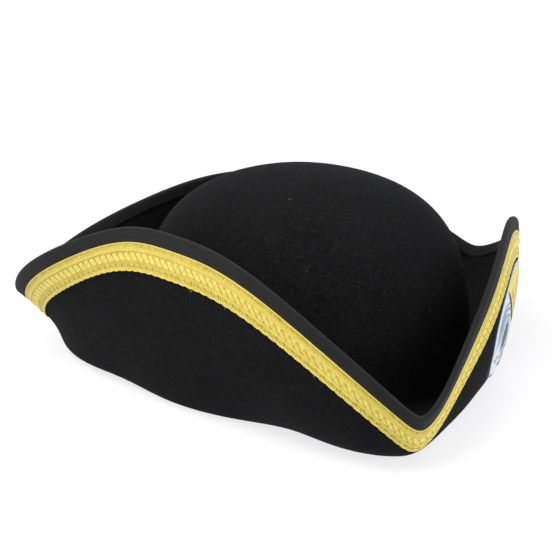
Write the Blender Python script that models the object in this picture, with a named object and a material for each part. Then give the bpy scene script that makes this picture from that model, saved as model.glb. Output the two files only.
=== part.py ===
"""Felt tricorn hat with a bound edge, a braid and an embroidered emblem, as separate closed solids.

Metres, +Z up.  The hat stands on the flat ring of brim round its head opening, at z = 0.  The front
panel, which carries the emblem, faces -Y, so the wearer's left is +X.  The origin is under the middle
of the whole hat's bounding box.

The brim is drawn as one surface, its underside, which turns up into three panels between three
corners.  A place on it is an angle round the crown (degrees from +X towards +Y), a depth (distance
from the bound edge, measured along the brim) and an offset (height above the underside, towards the
crown).  The felt, binding, wire, braid and emblem are all laid out in those three coordinates.
"""
import functools
import math

import bpy
import numpy as np
from mathutils import Vector

MM = 0.001

# ---- Driving dimensions, in millimetres and degrees ----
GAP = 0.3                      # clearance between pieces that touch
FELT = 2.0                     # felt thickness

CROWN_HALF_WIDTH = 87.5        # outside of the crown at the brim, across the head
CROWN_HALF_DEPTH = 104.0       # the same, front to back
CROWN_HEIGHT = 130.5
CROWN_PLAN_POWER = 2.25        # how square the crown's shoulder is, across
CROWN_RISE_POWER = 3.7         # and how long its side stays upright
CROWN_FILLET = 6.0             # inside bend from the brim up into the crown
FILLET_LEAN = 0.7              # how far the bend's middle stands out from the wall, for its height

REST_RING = 4.0                # flat brim outside the crown's wall, which the hat stands on
EDGE_SOFTNESS = 0.05           # rounding of each corner's notch, as a share of half a panel
PLAN_POWER = 3.1               # squareness of the rounded triangle that the edge makes from above
SECTION_SPREAD = 0.34          # share of half a panel over which a corner's section fades out
REACH_SPREAD = 0.41            # and over which its reach does
PANEL_ROOT_HANDLE = 12.0       # section of a panel at its middle: how far it runs out flat,
PANEL_EDGE_HANDLE = 69.0       # how far the upright part reaches down,
PANEL_EDGE_SLOPE = 98.0        # and its lean at the edge, from level
HANDLE_LIMIT = 8               # how sharply the upright part's reach is held above the floor

# corner: angle, height of its edge, reach from the axis, then its section as for a panel
CORNERS = {
    "back": {"angle": 90.0, "height": 36.0, "reach": 1.21, "root": 86.0, "edge": 90.0, "slope": 33.0},
    "right": {"angle": 215.5, "height": 35.0, "reach": 0.89, "root": 63.0, "edge": 80.0, "slope": 70.0},
    "left": {"angle": 334.5, "height": 36.0, "reach": 0.89, "root": 63.0, "edge": 80.0, "slope": 70.0},
}
# panel: the corners that it joins, the way it faces, its distance from the axis, height and arch
PANELS = [
    {"from": "back", "to": "right", "facing": 147.0, "distance": 113.0, "height": 112.5, "arch": 2.9},
    {"from": "right", "to": "left", "facing": 270.0, "distance": 125.0, "height": 104.0, "arch": 1.7},
    {"from": "left", "to": "back", "facing": 38.0, "distance": 117.0, "height": 101.5, "arch": 2.9},
]

RIBBON = 0.45                  # thickness of the folded grosgrain binding
WIRE_DIAMETER = 1.0            # millinery wire inside the binding's fold
BINDING_WIDTH = 8.85           # of each face of the binding, from the fold
BRAID_TOP = 9.15               # depth of the braid's upper edge
BRAID_WIDTH = 17.85
BRAID_THICKNESS = 0.9

SWEATBAND_HEIGHT = 32.0
SWEATBAND_RISE = 1.0           # its lower edge, above the rest ring
SWEATBAND_THICKNESS = 1.2
BOW_WIDTH = 26.0
BOW_HEIGHT = 9.0
BOW_WAIST = 3.6                # height where it is tied
BOW_CORNER = 0.7               # share of each side that stays straight before its cut corners
BOW_THICKNESS = 1.6

LABEL_WIDTH = 24.0
LABEL_DROP = 18.0
LABEL_THICKNESS = 0.5
LABEL_HINGE_HEIGHT = 29.0

EMBLEM_DEPTH = 56.5            # depth of the emblem's middle, on the front panel
EMBLEM_LAYER = 0.5             # thickness of the backing and of each layer of embroidery
EMBLEM_BORDER = 1.06           # size of the backing against the embroidery
SKULL_HALF_WIDTH = 54.0
SKULL_TOP = 27.0               # height of the skull above the emblem's middle
SKULL_DROP = 34.0              # and depth of the jaw below it
SKULL_SQUARENESS = 4.0         # how full the skull's upper corners are; 2 would make an oval
CHEEK_SQUARENESS = 1.7
JAW_HALF_WIDTH = 20.0
JAW_SQUARENESS = 6.0
BANDANA_HALF_WIDTH = 28.0
BANDANA_TOP = 12.0             # height of the kerchief above its own middle
BANDANA_DROP = 35.0            # and from its top to its point
BANDANA_UP = 14.0              # height of the kerchief's middle above the emblem's

# ---- Mesh resolution ----
STEPS_PER_PANEL = 28
CORNER_CROWDING = 0.6          # 0 spaces the steps evenly, 1 would bunch them at the corners
BRIM_ROWS = 8                  # rows of brim between the braid and the crown
CROWN_ROWS = 7
WIRE_SIDES = 6
EMBLEM_SPOKES = 32
EMBLEM_RINGS = 7
SECTION_SAMPLES = 81           # points that measure the length of the brim's section
NORMAL_TURN = 0.05             # degrees and share of the section over which its normal is taken
NORMAL_SHARE = 0.001
FACET_SAG = 0.6                # the most that a flat facet of the sweatband cuts inside its oval
SHARP_ANGLE = 35.0             # edges that turn more than this are shaded sharp


# ---- The crown ----
def crown_radius(angle, inset=0.0):
    """Radius of the crown's oval, or of the oval a distance inside it."""
    turn = math.radians(angle)
    half_width = CROWN_HALF_WIDTH - inset
    half_depth = CROWN_HALF_DEPTH - inset
    return half_width * half_depth / math.hypot(half_depth * math.cos(turn), half_width * math.sin(turn))


def crown_point(angle, share, inset):
    """Point on the crown's dome: share runs from 0 at the apex to 1 at the foot."""
    height = CROWN_HEIGHT - inset
    around = math.sin(share * math.pi / 2)
    radius = crown_radius(angle, inset) * around
    z = height * (1 - around ** CROWN_PLAN_POWER) ** (1 / CROWN_RISE_POWER)
    return polar(angle, radius, z)


def crown_wall_radius(angle, z, inset):
    """Radius of the crown's side at a height."""
    height = CROWN_HEIGHT - inset
    return crown_radius(angle, inset) * (1 - (z / height) ** CROWN_RISE_POWER) ** (1 / CROWN_PLAN_POWER)


def polar(angle, radius, z):
    turn = math.radians(angle)
    return np.array((radius * math.cos(turn), radius * math.sin(turn), z))


# ---- The brim's underside ----
def panel_at(angle):
    """The panel that holds an angle, and how far along it the angle lies, from 0 to 1."""
    for panel in PANELS:
        start = CORNERS[panel["from"]]["angle"]
        width = (CORNERS[panel["to"]]["angle"] - start) % 360
        along = ((angle - start) % 360) / width
        if along <= 1:
            return panel, along
    raise ValueError(angle)


def rise(along, arch):
    """Height of a panel's edge: 0 at its corners, with their notches rounded, and 1 at its middle."""
    from_corner = 1 - abs(2 * along - 1)
    rounded = math.hypot(from_corner, EDGE_SOFTNESS) - EDGE_SOFTNESS
    rounded /= math.hypot(1, EDGE_SOFTNESS) - EDGE_SOFTNESS
    return 1 - (1 - rounded) ** arch


def fade(along, spread):
    """A corner's influence: 1 at the corner, falling smoothly to 0 at the middle of the panel."""
    from_corner = 1 - abs(2 * along - 1)
    at_middle = math.exp(-spread ** -2)
    return (math.exp(-(from_corner / spread) ** 2) - at_middle) / (1 - at_middle)


def plan_radius(angle):
    """Radius of the rounded triangle that the edge would make with all its corners drawn alike."""
    total = 0.0
    for panel in PANELS:
        toward = max(0.0, math.cos(math.radians(angle - panel["facing"])))
        total += (toward / panel["distance"]) ** PLAN_POWER
    return total ** (-1 / PLAN_POWER)


@functools.lru_cache(maxsize=None)
def brim_section(angle):
    """Bezier control points (radius, height) of the underside, from the rest ring to the edge."""
    panel, along = panel_at(angle)
    first = CORNERS[panel["from"]]
    last = CORNERS[panel["to"]]
    ease = along * along * (3 - 2 * along)
    corner = {key: first[key] + (last[key] - first[key]) * ease for key in first}
    lift = rise(along, panel["arch"])
    blend = 1 - fade(along, SECTION_SPREAD)
    height = corner["height"] + (panel["height"] - corner["height"]) * lift
    reach = plan_radius(angle) * (1 + (corner["reach"] - 1) * fade(along, REACH_SPREAD))
    root = corner["root"] + (PANEL_ROOT_HANDLE - corner["root"]) * blend
    edge = corner["edge"] + (PANEL_EDGE_HANDLE - corner["edge"]) * blend
    slope = math.radians(corner["slope"] + (PANEL_EDGE_SLOPE - corner["slope"]) * blend)
    to_floor = height / math.sin(slope)
    edge = (edge ** -HANDLE_LIMIT + to_floor ** -HANDLE_LIMIT) ** (-1 / HANDLE_LIMIT)
    start = crown_radius(angle) + REST_RING
    return np.array((
        (start, 0.0),
        (start + root, 0.0),
        (reach - edge * math.cos(slope), height - edge * math.sin(slope)),
        (reach, height),
    ))


def section_point(angle, share):
    """Radius and height on the section: share runs from 0 at the rest ring to 1 at the edge."""
    left = 1 - share
    weights = np.array((left ** 3, 3 * share * left ** 2, 3 * share ** 2 * left, share ** 3))
    return weights @ brim_section(angle)


@functools.lru_cache(maxsize=None)
def section_lengths(angle):
    """Shares along the section, and the depth from the edge at each."""
    shares = np.linspace(0, 1, SECTION_SAMPLES)
    points = np.array([section_point(angle, share) for share in shares])
    steps = np.hypot(*np.diff(points, axis=0).T)
    from_root = np.concatenate(((0.0,), np.cumsum(steps)))
    return shares, from_root[-1] - from_root


def brim_length(angle):
    return section_lengths(angle)[1][0]


@functools.lru_cache(maxsize=None)
def brim_frame(angle, depth):
    """Point of the underside at a depth, and the unit normal towards the upper side."""
    shares, depths = section_lengths(angle)
    share = float(np.interp(-depth, -depths, shares))
    before = max(share - NORMAL_SHARE, 0.0)
    after = min(share + NORMAL_SHARE, 1.0)
    along = polar(angle, *section_point(angle, after)) - polar(angle, *section_point(angle, before))
    ahead = polar(angle + NORMAL_TURN, *section_point(angle + NORMAL_TURN, share))
    behind = polar(angle - NORMAL_TURN, *section_point(angle - NORMAL_TURN, share))
    normal = np.cross(along, ahead - behind)
    return polar(angle, *section_point(angle, share)), normal / np.linalg.norm(normal)


def on_brim(angle, depth, offset):
    """Point of the brim at an angle, depth and offset."""
    point, normal = brim_frame(angle, depth)
    return point + normal * offset


def step_angles():
    """Angles round the hat, crowded towards the corners, where the edge turns most."""
    angles = []
    for panel in PANELS:
        start = CORNERS[panel["from"]]["angle"]
        width = (CORNERS[panel["to"]]["angle"] - start) % 360
        for step in range(STEPS_PER_PANEL):
            even = step / STEPS_PER_PANEL
            along = even - CORNER_CROWDING * math.sin(2 * math.pi * even) / (2 * math.pi)
            angles.append((start + width * along) % 360)
    return angles


ANGLES = step_angles()
FOLD_CENTRE = FELT / 2                                   # offset of the fold's centre
FOLD_RADIUS = FELT / 2 + GAP + RIBBON                    # and its outer radius and depth
WIRE_DEPTH = RIBBON + GAP + WIRE_DIAMETER / 2
FELT_EDGE = WIRE_DEPTH + WIRE_DIAMETER / 2 + GAP
BINDING_MIDDLE = (FOLD_RADIUS + BINDING_WIDTH) / 2
BRAID_BOTTOM = BRAID_TOP + BRAID_WIDTH
BRAID_MIDDLES = [BRAID_TOP + BRAID_WIDTH * third / 3 for third in (1, 2)]
BRAID_ROWS = [BRAID_TOP, *BRAID_MIDDLES, BRAID_BOTTOM]
TRIM_ROWS = [FELT_EDGE, BINDING_MIDDLE, BINDING_WIDTH, *BRAID_ROWS]


# ---- Solids ----
def make_object(name, points, triangles, material, origin=(0.0, 0.0, 0.0)):
    """A closed mesh object from points in millimetres, with its own origin."""
    home = Vector(origin) * MM
    mesh = bpy.data.meshes.new(name)
    mesh.from_pydata([Vector(point) * MM - home for point in points], [], triangles)
    mesh.validate()
    mesh.shade_smooth()
    mesh.set_sharp_from_angle(angle=math.radians(SHARP_ANGLE))
    mesh.materials.append(material)
    made = bpy.data.objects.new(name, mesh)
    made.location = home
    bpy.context.collection.objects.link(made)
    return made


def face_outward(points, triangles):
    """The triangles, turned over if they enclose a negative volume."""
    corners = np.asarray(points)[np.asarray(triangles)]
    volume = np.einsum("ij,ij->i", corners[:, 0], np.cross(corners[:, 1], corners[:, 2])).sum()
    return triangles if volume > 0 else [tuple(reversed(triangle)) for triangle in triangles]


def sweep_round(sections, order, closed_section=True, closed_path=True):
    """Skin between sections of equal length.

    Squares are cut from the lower order at one angle to the higher order at the next, so that faces
    which lie against each other are cut alike, whichever way their sections run.
    """
    count = len(sections)
    length = len(sections[0])
    points = [point for section in sections for point in section]
    triangles = []
    for here in range(count if closed_path else count - 1):
        there = (here + 1) % count
        for row in range(length if closed_section else length - 1):
            below = (row + 1) % length
            near, far = here * length + row, here * length + below
            next_near, next_far = there * length + row, there * length + below
            if order[below] >= order[row]:
                triangles += [(near, next_near, next_far), (near, next_far, far)]
            else:
                triangles += [(near, next_near, far), (next_near, next_far, far)]
    return points, triangles


def make_felt_body(material):
    """Crown and brim, blocked from one felt: a skin of two layers that meet at the brim's edge."""
    sections = []
    for angle in ANGLES:
        length = brim_length(angle)
        free = [BRAID_BOTTOM + (length - BRAID_BOTTOM) * (row + 1) / BRIM_ROWS for row in range(BRIM_ROWS)]
        wall = crown_radius(angle)
        dome = [share / (CROWN_ROWS + 1) for share in range(1, CROWN_ROWS + 1)]
        foot = crown_wall_radius(angle, FELT + CROWN_FILLET, 0.0)
        section = [crown_point(angle, share, 0.0) for share in dome]
        section.append(polar(angle, foot, FELT + CROWN_FILLET))
        bend = CROWN_FILLET * (1 - math.sqrt(0.5))
        section.append(polar(angle, wall + bend * FILLET_LEAN, FELT + bend))
        section += [on_brim(angle, depth, FELT) for depth in reversed(free[:-1])]
        section += [on_brim(angle, depth, FELT) for depth in reversed(TRIM_ROWS)]
        section += [on_brim(angle, depth, 0.0) for depth in TRIM_ROWS]
        section += [on_brim(angle, depth, 0.0) for depth in free]
        section.append(polar(angle, crown_radius(angle, FELT), 0.0))
        top = SWEATBAND_RISE + SWEATBAND_HEIGHT
        section.append(polar(angle, crown_wall_radius(angle, top, FELT), top))
        section += [crown_point(angle, share, FELT) for share in reversed(dome)]
        sections.append(section)
    length = len(sections[0])
    edge_row = CROWN_ROWS + 2 + BRIM_ROWS - 1 + len(TRIM_ROWS)
    points, triangles = sweep_round(sections, [abs(row - edge_row) for row in range(length)], False)
    outer_apex = len(points)
    points.append(polar(0.0, 0.0, CROWN_HEIGHT))
    points.append(polar(0.0, 0.0, CROWN_HEIGHT - FELT))
    for here in range(len(sections)):
        there = (here + 1) % len(sections)
        triangles.append((outer_apex, there * length, here * length))
        last = length - 1
        triangles.append((outer_apex + 1, here * length + last, there * length + last))
    return make_object("felt_body", points, face_outward(points, triangles), material)


def fold_arc(radius, turns):
    """Depth and offset of points round the binding's fold, 0 degrees being on its upper side."""
    arc = []
    for turn in turns:
        swing = math.radians(turn)
        depth = FOLD_RADIUS - radius * math.sin(swing)
        arc.append((depth, FOLD_CENTRE + radius * math.cos(swing)))
    return arc


def make_edge_binding(material):
    """Grosgrain ribbon folded over the brim's edge and the wire."""
    inner = FOLD_RADIUS - RIBBON
    outline = [(depth, FOLD_CENTRE + FOLD_RADIUS) for depth in (BINDING_WIDTH, BINDING_MIDDLE)]
    outline += fold_arc(FOLD_RADIUS, (0, 45, 90, 135, 180))
    outline += [(depth, FOLD_CENTRE - FOLD_RADIUS) for depth in (BINDING_MIDDLE, BINDING_WIDTH)]
    outline += [(depth, FOLD_CENTRE - inner) for depth in (BINDING_WIDTH, BINDING_MIDDLE)]
    outline += fold_arc(inner, (180, 135, 90, 45, 0))
    outline += [(depth, FOLD_CENTRE + inner) for depth in (BINDING_MIDDLE, BINDING_WIDTH)]
    sections = [[on_brim(angle, *place) for place in outline] for angle in ANGLES]
    points, triangles = sweep_round(sections, [depth for depth, offset in outline])
    return make_object("edge_binding", points, face_outward(points, triangles), material)


def make_brim_wire(material):
    """Wire along the felt's edge, with its two ends butted at the back corner."""
    sections = []
    radius = WIRE_DIAMETER / 2
    for angle in ANGLES[1:]:
        ring = []
        for side in range(WIRE_SIDES):
            swing = 2 * math.pi * side / WIRE_SIDES
            depth = WIRE_DEPTH - radius * math.cos(swing)
            ring.append(on_brim(angle, depth, FOLD_CENTRE + radius * math.sin(swing)))
        sections.append(ring)
    points, triangles = sweep_round(sections, range(WIRE_SIDES), closed_path=False)
    last = len(points) - WIRE_SIDES
    for side in range(1, WIRE_SIDES - 1):
        triangles.append((0, side, side + 1))
        triangles.append((last, last + side + 1, last + side))
    return make_object("brim_wire", points, face_outward(points, triangles), material)


def make_gold_braid(material):
    """Flat woven braid round the outer face of the brim, under the binding."""
    outline = [(depth, -GAP) for depth in BRAID_ROWS]
    outline += [(depth, -GAP - BRAID_THICKNESS) for depth in reversed(BRAID_ROWS)]
    sections = [[on_brim(angle, *place) for place in outline] for angle in ANGLES]
    points, triangles = sweep_round(sections, [depth for depth, offset in outline])
    return make_object("gold_braid", points, face_outward(points, triangles), material)


def sweatband_corners(angle):
    """The sweatband's section at an angle: two heights on its outer face, then its inner one."""
    low = SWEATBAND_RISE
    high = SWEATBAND_RISE + SWEATBAND_HEIGHT
    outer = [(crown_wall_radius(angle, z, FELT) - GAP, z) for z in (low, high)]
    inner = [(radius - SWEATBAND_THICKNESS, z) for radius, z in reversed(outer)]
    return [polar(angle, radius, z) for radius, z in outer + inner]


def make_sweatband(material):
    points, triangles = sweep_round([sweatband_corners(angle) for angle in ANGLES], (0, 1, 1, 0))
    return make_object("sweatband", points, face_outward(points, triangles), material)


def sweatband_reach(axis, half_width):
    """How far along an axis the band's inner face stays clear, over a width centred on that axis."""
    turn = math.degrees(math.asin(half_width / crown_radius(axis, FELT)))
    radius = crown_wall_radius(axis + turn, SWEATBAND_RISE + SWEATBAND_HEIGHT, FELT) - GAP
    return (radius - SWEATBAND_THICKNESS) * math.cos(math.radians(turn)) - FACET_SAG


def extrude_outline(name, outline, depth_vector, material, origin=(0.0, 0.0, 0.0)):
    """A plate from a flat outline and a thickness."""
    front = [np.array(point) for point in outline]
    back = [point + np.array(depth_vector) for point in front]
    count = len(front)
    centre = sum(front) / count
    points = front + back + [centre, centre + np.array(depth_vector)]
    triangles = []
    for here in range(count):
        there = (here + 1) % count
        triangles.append((here, there, count + there))
        triangles.append((here, count + there, count + here))
        triangles.append((2 * count, there, here))
        triangles.append((2 * count + 1, count + here, count + there))
    return make_object(name, points, face_outward(points, triangles), material, origin)


def make_sweatband_bow(material):
    """Flat bow over the sweatband's joint, which marks the back of the hat."""
    y = sweatband_reach(90.0, BOW_WIDTH / 2) - GAP
    middle = SWEATBAND_RISE + SWEATBAND_HEIGHT / 2
    half = BOW_WIDTH / 2
    tall = BOW_HEIGHT / 2
    waist = BOW_WAIST / 2
    quarter = [(waist, waist), (half * BOW_CORNER, tall), (half, tall * BOW_CORNER)]
    outline = quarter + [(x, -z) for x, z in reversed(quarter)]
    outline += [(-x, -z) for x, z in quarter] + [(-x, z) for x, z in reversed(quarter)]
    face = [(x, y, middle + z) for x, z in outline]
    return extrude_outline("sweatband_bow", face, (0.0, -BOW_THICKNESS, 0.0), material)


def label_axis():
    """Middle of the label's stitched top edge, which it turns about."""
    x = sweatband_reach(0.0, LABEL_WIDTH / 2) - GAP - LABEL_THICKNESS / 2
    return (x, 0.0, LABEL_HINGE_HEIGHT)


def make_size_label(material):
    """Woven label that hangs from its top edge and lifts to be read."""
    x, y, z = label_axis()
    half = LABEL_WIDTH / 2
    near = x + LABEL_THICKNESS / 2
    face = [(near, y - half, z), (near, y + half, z)]
    face += [(near, y + half, z - LABEL_DROP), (near, y - half, z - LABEL_DROP)]
    return extrude_outline("size_label", face, (-LABEL_THICKNESS, 0.0, 0.0), material, (x, y, z))


# ---- The emblem, in millimetres across and up from its middle ----
def squared_oval(turn, across, up, power):
    """Reach of an oval whose corners fill out as the power grows."""
    swing = math.radians(turn)
    level = (abs(math.cos(swing)) / across) ** power + (abs(math.sin(swing)) / up) ** power
    return level ** (-1 / power)


def skull_outline(turn):
    """Broad skull seen from the front, cut off under the braid, with a narrower jaw."""
    swing = math.radians(turn)
    if math.sin(swing) >= 0:
        reach = squared_oval(turn, SKULL_HALF_WIDTH, SKULL_TOP, SKULL_SQUARENESS)
    else:
        cheeks = squared_oval(turn, SKULL_HALF_WIDTH, SKULL_DROP, CHEEK_SQUARENESS)
        reach = max(cheeks, squared_oval(turn, JAW_HALF_WIDTH, SKULL_DROP, JAW_SQUARENESS))
    return reach * math.cos(swing), reach * math.sin(swing)


def bandana_outline(turn):
    """Kerchief folded to a point between the eyes: a triangle, point down."""
    length = math.hypot(BANDANA_HALF_WIDTH, BANDANA_DROP)
    lean = math.degrees(math.atan2(BANDANA_HALF_WIDTH, BANDANA_DROP))
    side = BANDANA_HALF_WIDTH * (BANDANA_DROP - BANDANA_TOP) / length
    reach = SKULL_HALF_WIDTH
    for facing, distance in ((90.0, BANDANA_TOP), (-lean, side), (180.0 + lean, side)):
        toward = math.cos(math.radians(turn - facing))
        if toward > 0:
            reach = min(reach, distance / toward)
    swing = math.radians(turn)
    return reach * math.cos(swing), reach * math.sin(swing)


def emblem_plate(name, outline, centre_up, size, near, far, material):
    """A plate that follows the front panel, between two offsets outside the brim."""
    middle = (CORNERS["right"]["angle"] + CORNERS["left"]["angle"]) / 2
    layers = []
    for offset in (near, far):
        rings = []
        for ring in range(1, EMBLEM_RINGS + 1):
            share = size * ring / EMBLEM_RINGS
            row = []
            for spoke in range(EMBLEM_SPOKES):
                across, up = outline(360 * spoke / EMBLEM_SPOKES)
                row.append((across * share, centre_up + up * share))
            rings.append(row)
        layers.append((offset, rings))
    points = []
    for offset, rings in layers:
        for row in [[(0.0, centre_up)]] + rings:
            for across, up in row:
                depth = EMBLEM_DEPTH - up
                radius = math.hypot(*brim_frame(middle, depth)[0][:2])
                points.append(on_brim(middle + math.degrees(across / radius), depth, offset))
    per_layer = 1 + EMBLEM_RINGS * EMBLEM_SPOKES
    triangles = []
    for layer, flip in ((0, False), (per_layer, True)):
        for spoke in range(EMBLEM_SPOKES):
            beside = (spoke + 1) % EMBLEM_SPOKES
            fan = [(layer, layer + 1 + spoke, layer + 1 + beside)]
            for ring in range(EMBLEM_RINGS - 1):
                here = layer + 1 + ring * EMBLEM_SPOKES
                out = here + EMBLEM_SPOKES
                fan.append((here + spoke, out + spoke, out + beside))
                fan.append((here + spoke, out + beside, here + beside))
            triangles += [tuple(reversed(face)) if flip else face for face in fan]
    rim = 1 + (EMBLEM_RINGS - 1) * EMBLEM_SPOKES
    for spoke in range(EMBLEM_SPOKES):
        beside = (spoke + 1) % EMBLEM_SPOKES
        far_rim = rim + per_layer
        triangles.append((rim + beside, rim + spoke, far_rim + spoke))
        triangles.append((rim + beside, far_rim + spoke, far_rim + beside))
    return make_object(name, points, face_outward(points, triangles), material)


def make_emblem(materials):
    """Backing patch, embroidered badge and kerchief, one on another on the front panel."""
    layers = (
        ("emblem_backing", skull_outline, 0.0, EMBLEM_BORDER, "patch"),
        ("emblem_skull", skull_outline, 0.0, 1.0, "pale_thread"),
        ("emblem_bandana", bandana_outline, BANDANA_UP, 1.0, "gold_thread"),
    )
    plates = []
    near = -GAP
    for name, outline, centre_up, size, slot in layers:
        far = near - EMBLEM_LAYER
        plates.append(emblem_plate(name, outline, centre_up, size, near, far, materials[slot]))
        near = far - GAP
    return plates


# ---- Materials ----
def make_material(name, colour, roughness, metallic=0.0):
    material = bpy.data.materials.new(name)
    material.use_nodes = True
    shader = material.node_tree.nodes["Principled BSDF"]
    shader.inputs["Base Color"].default_value = (*colour, 1.0)
    shader.inputs["Roughness"].default_value = roughness
    shader.inputs["Metallic"].default_value = metallic
    return material


def make_materials():
    return {
        "felt": make_material("black_felt", (0.008, 0.008, 0.009), 0.95),
        "ribbon": make_material("black_grosgrain", (0.02, 0.02, 0.021), 0.7),
        "braid": make_material("gold_braid", (0.76, 0.55, 0.09), 0.4, 0.6),
        "wire": make_material("covered_wire", (0.03, 0.03, 0.03), 0.6),
        "band": make_material("sweatband_ribbon", (0.015, 0.015, 0.016), 0.75),
        "label": make_material("label_satin", (0.75, 0.74, 0.7), 0.55),
        "patch": make_material("patch_twill", (0.02, 0.02, 0.03), 0.85),
        "pale_thread": make_material("pale_thread", (0.55, 0.64, 0.69), 0.5),
        "gold_thread": make_material("gold_thread", (0.7, 0.48, 0.08), 0.45, 0.4),
    }


def centre_on_footprint(objects):
    """Move every piece so that the origin is under the middle of the hat's bounding box."""
    bpy.context.view_layer.update()
    corners = [made.matrix_world @ Vector(corner) for made in objects for corner in made.bound_box]
    middle_x = (min(point.x for point in corners) + max(point.x for point in corners)) / 2
    middle_y = (min(point.y for point in corners) + max(point.y for point in corners)) / 2
    for made in objects:
        made.location -= Vector((middle_x, middle_y, 0.0))


def main():
    for old in list(bpy.data.objects):
        bpy.data.objects.remove(old, do_unlink=True)
    materials = make_materials()
    objects = [
        make_felt_body(materials["felt"]),
        make_edge_binding(materials["ribbon"]),
        make_brim_wire(materials["wire"]),
        make_gold_braid(materials["braid"]),
        make_sweatband(materials["band"]),
        make_sweatband_bow(materials["band"]),
        make_size_label(materials["label"]),
    ]
    objects += make_emblem(materials)
    centre_on_footprint(objects)


main()
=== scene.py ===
"""Looks of the felt tricorn: felt with its nap, grosgrain binding, metallic braid, embroidered emblem,
sweatband, bow and label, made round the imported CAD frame.

Lengths are in millimetres until they reach a mesh. An angle is in degrees; a turn or swing is in radians.
A place on the brim is an angle round the crown (from +X towards +Y), a depth (distance from the bound
edge, measured along the brim) and an offset (height above the underside, towards the crown). The
underside is the outer face of the turned-up panels, so what is sewn on it has a negative offset.
"""

import math

import bpy
import numpy as np
from mathutils import Matrix, Vector


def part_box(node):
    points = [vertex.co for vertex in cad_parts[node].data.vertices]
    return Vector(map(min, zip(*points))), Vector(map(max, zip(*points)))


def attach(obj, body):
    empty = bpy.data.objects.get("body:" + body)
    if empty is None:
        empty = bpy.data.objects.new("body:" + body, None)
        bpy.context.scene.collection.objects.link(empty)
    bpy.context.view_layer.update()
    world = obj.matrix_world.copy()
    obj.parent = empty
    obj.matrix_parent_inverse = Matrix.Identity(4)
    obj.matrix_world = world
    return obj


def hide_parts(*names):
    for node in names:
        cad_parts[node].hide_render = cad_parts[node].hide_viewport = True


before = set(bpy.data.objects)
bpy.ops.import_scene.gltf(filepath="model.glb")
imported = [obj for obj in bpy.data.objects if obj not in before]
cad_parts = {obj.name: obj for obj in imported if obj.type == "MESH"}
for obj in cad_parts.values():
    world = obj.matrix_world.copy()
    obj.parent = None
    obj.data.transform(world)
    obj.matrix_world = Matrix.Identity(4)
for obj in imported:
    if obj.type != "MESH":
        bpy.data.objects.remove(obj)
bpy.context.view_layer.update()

MM = 0.001
RANDOM = np.random.default_rng(1720)

# ---- The CAD model's driving dimensions ----
FELT = 2.0
CROWN_HALF_WIDTH = 87.5
CROWN_HALF_DEPTH = 104.0
CROWN_HEIGHT = 130.5
CROWN_PLAN_POWER = 2.25
CROWN_RISE_POWER = 3.7
CROWN_FILLET = 6.0
REST_RING = 4.0
EDGE_SOFTNESS = 0.05
PLAN_POWER = 3.1
SECTION_SPREAD = 0.34
REACH_SPREAD = 0.41
PANEL_ROOT_HANDLE = 12.0
PANEL_EDGE_HANDLE = 69.0
PANEL_EDGE_SLOPE = 98.0
HANDLE_LIMIT = 8
CORNERS = {
    "back": {"angle": 90.0, "height": 36.0, "reach": 1.21, "root": 86.0, "edge": 90.0, "slope": 33.0},
    "right": {"angle": 215.5, "height": 35.0, "reach": 0.89, "root": 63.0, "edge": 80.0, "slope": 70.0},
    "left": {"angle": 334.5, "height": 36.0, "reach": 0.89, "root": 63.0, "edge": 80.0, "slope": 70.0},
}
PANELS = [
    {"from": "back", "to": "right", "facing": 147.0, "distance": 113.0, "height": 112.5, "arch": 2.9},
    {"from": "right", "to": "left", "facing": 270.0, "distance": 125.0, "height": 104.0, "arch": 1.7},
    {"from": "left", "to": "back", "facing": 38.0, "distance": 117.0, "height": 101.5, "arch": 2.9},
]
RIBBON = 0.45
BINDING_WIDTH = 8.85
BRAID_TOP = 9.15
BRAID_WIDTH = 17.85
BRAID_BOTTOM = BRAID_TOP + BRAID_WIDTH
SWEATBAND_HEIGHT = 32.0
SWEATBAND_RISE = 1.0
SWEATBAND_THICKNESS = 1.2
EMBLEM_DEPTH = 56.5
SKULL_HALF_WIDTH = 54.0
SKULL_TOP = 27.0
SKULL_DROP = 34.0
JAW_HALF_WIDTH = 20.0
BANDANA_HALF_WIDTH = 28.0
BANDANA_TOP = 12.0
BANDANA_DROP = 35.0
BANDANA_UP = 14.0

FOLD_CENTRE = FELT / 2
FOLD_RADIUS = FELT / 2 + 0.3 + RIBBON
EMBLEM_ANGLE = (CORNERS["right"]["angle"] + CORNERS["left"]["angle"]) / 2

# The crown's axis is the middle of the sweatband.
BAND_LOW, BAND_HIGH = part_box("sweatband")
CROWN_AXIS = np.array(((BAND_LOW.x + BAND_HIGH.x) / 2, (BAND_LOW.y + BAND_HIGH.y) / 2, 0.0)) / MM


# ---- Small helpers ----
TINY = 1e-12                     # keeps a vector without length from dividing by zero


def unit(vectors):
    return vectors / (np.linalg.norm(vectors, axis=-1, keepdims=True) + TINY)


def stacked(*values):
    """Values of unlike shapes, spread to one shape and joined on a new last axis."""
    return np.stack(np.broadcast_arrays(*values), axis=-1)


def walked_along(steps):
    """Distances from the start of a line at the end of each step."""
    return np.concatenate(((0.0,), np.cumsum(steps)))


def full_turn(count):
    return np.arange(count) * 2 * np.pi / count


def cad_corners(node):
    """The low and high corners of a CAD piece, in crown-centred millimetres."""
    return [np.array(corner) / MM - CROWN_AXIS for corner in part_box(node)]


# ---- The brim's surface ----
TABLE_ANGLES = 1440
TABLE_ROWS = 200
SECTION_SAMPLES = 320


def polar(angle, radius, z):
    turn = np.radians(angle)
    return stacked(radius * np.cos(turn), radius * np.sin(turn), z)


def crown_radius(angle, inset=0.0):
    turn = np.radians(angle)
    half_width, half_depth = CROWN_HALF_WIDTH - inset, CROWN_HALF_DEPTH - inset
    return half_width * half_depth / np.hypot(half_depth * np.cos(turn), half_width * np.sin(turn))


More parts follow.
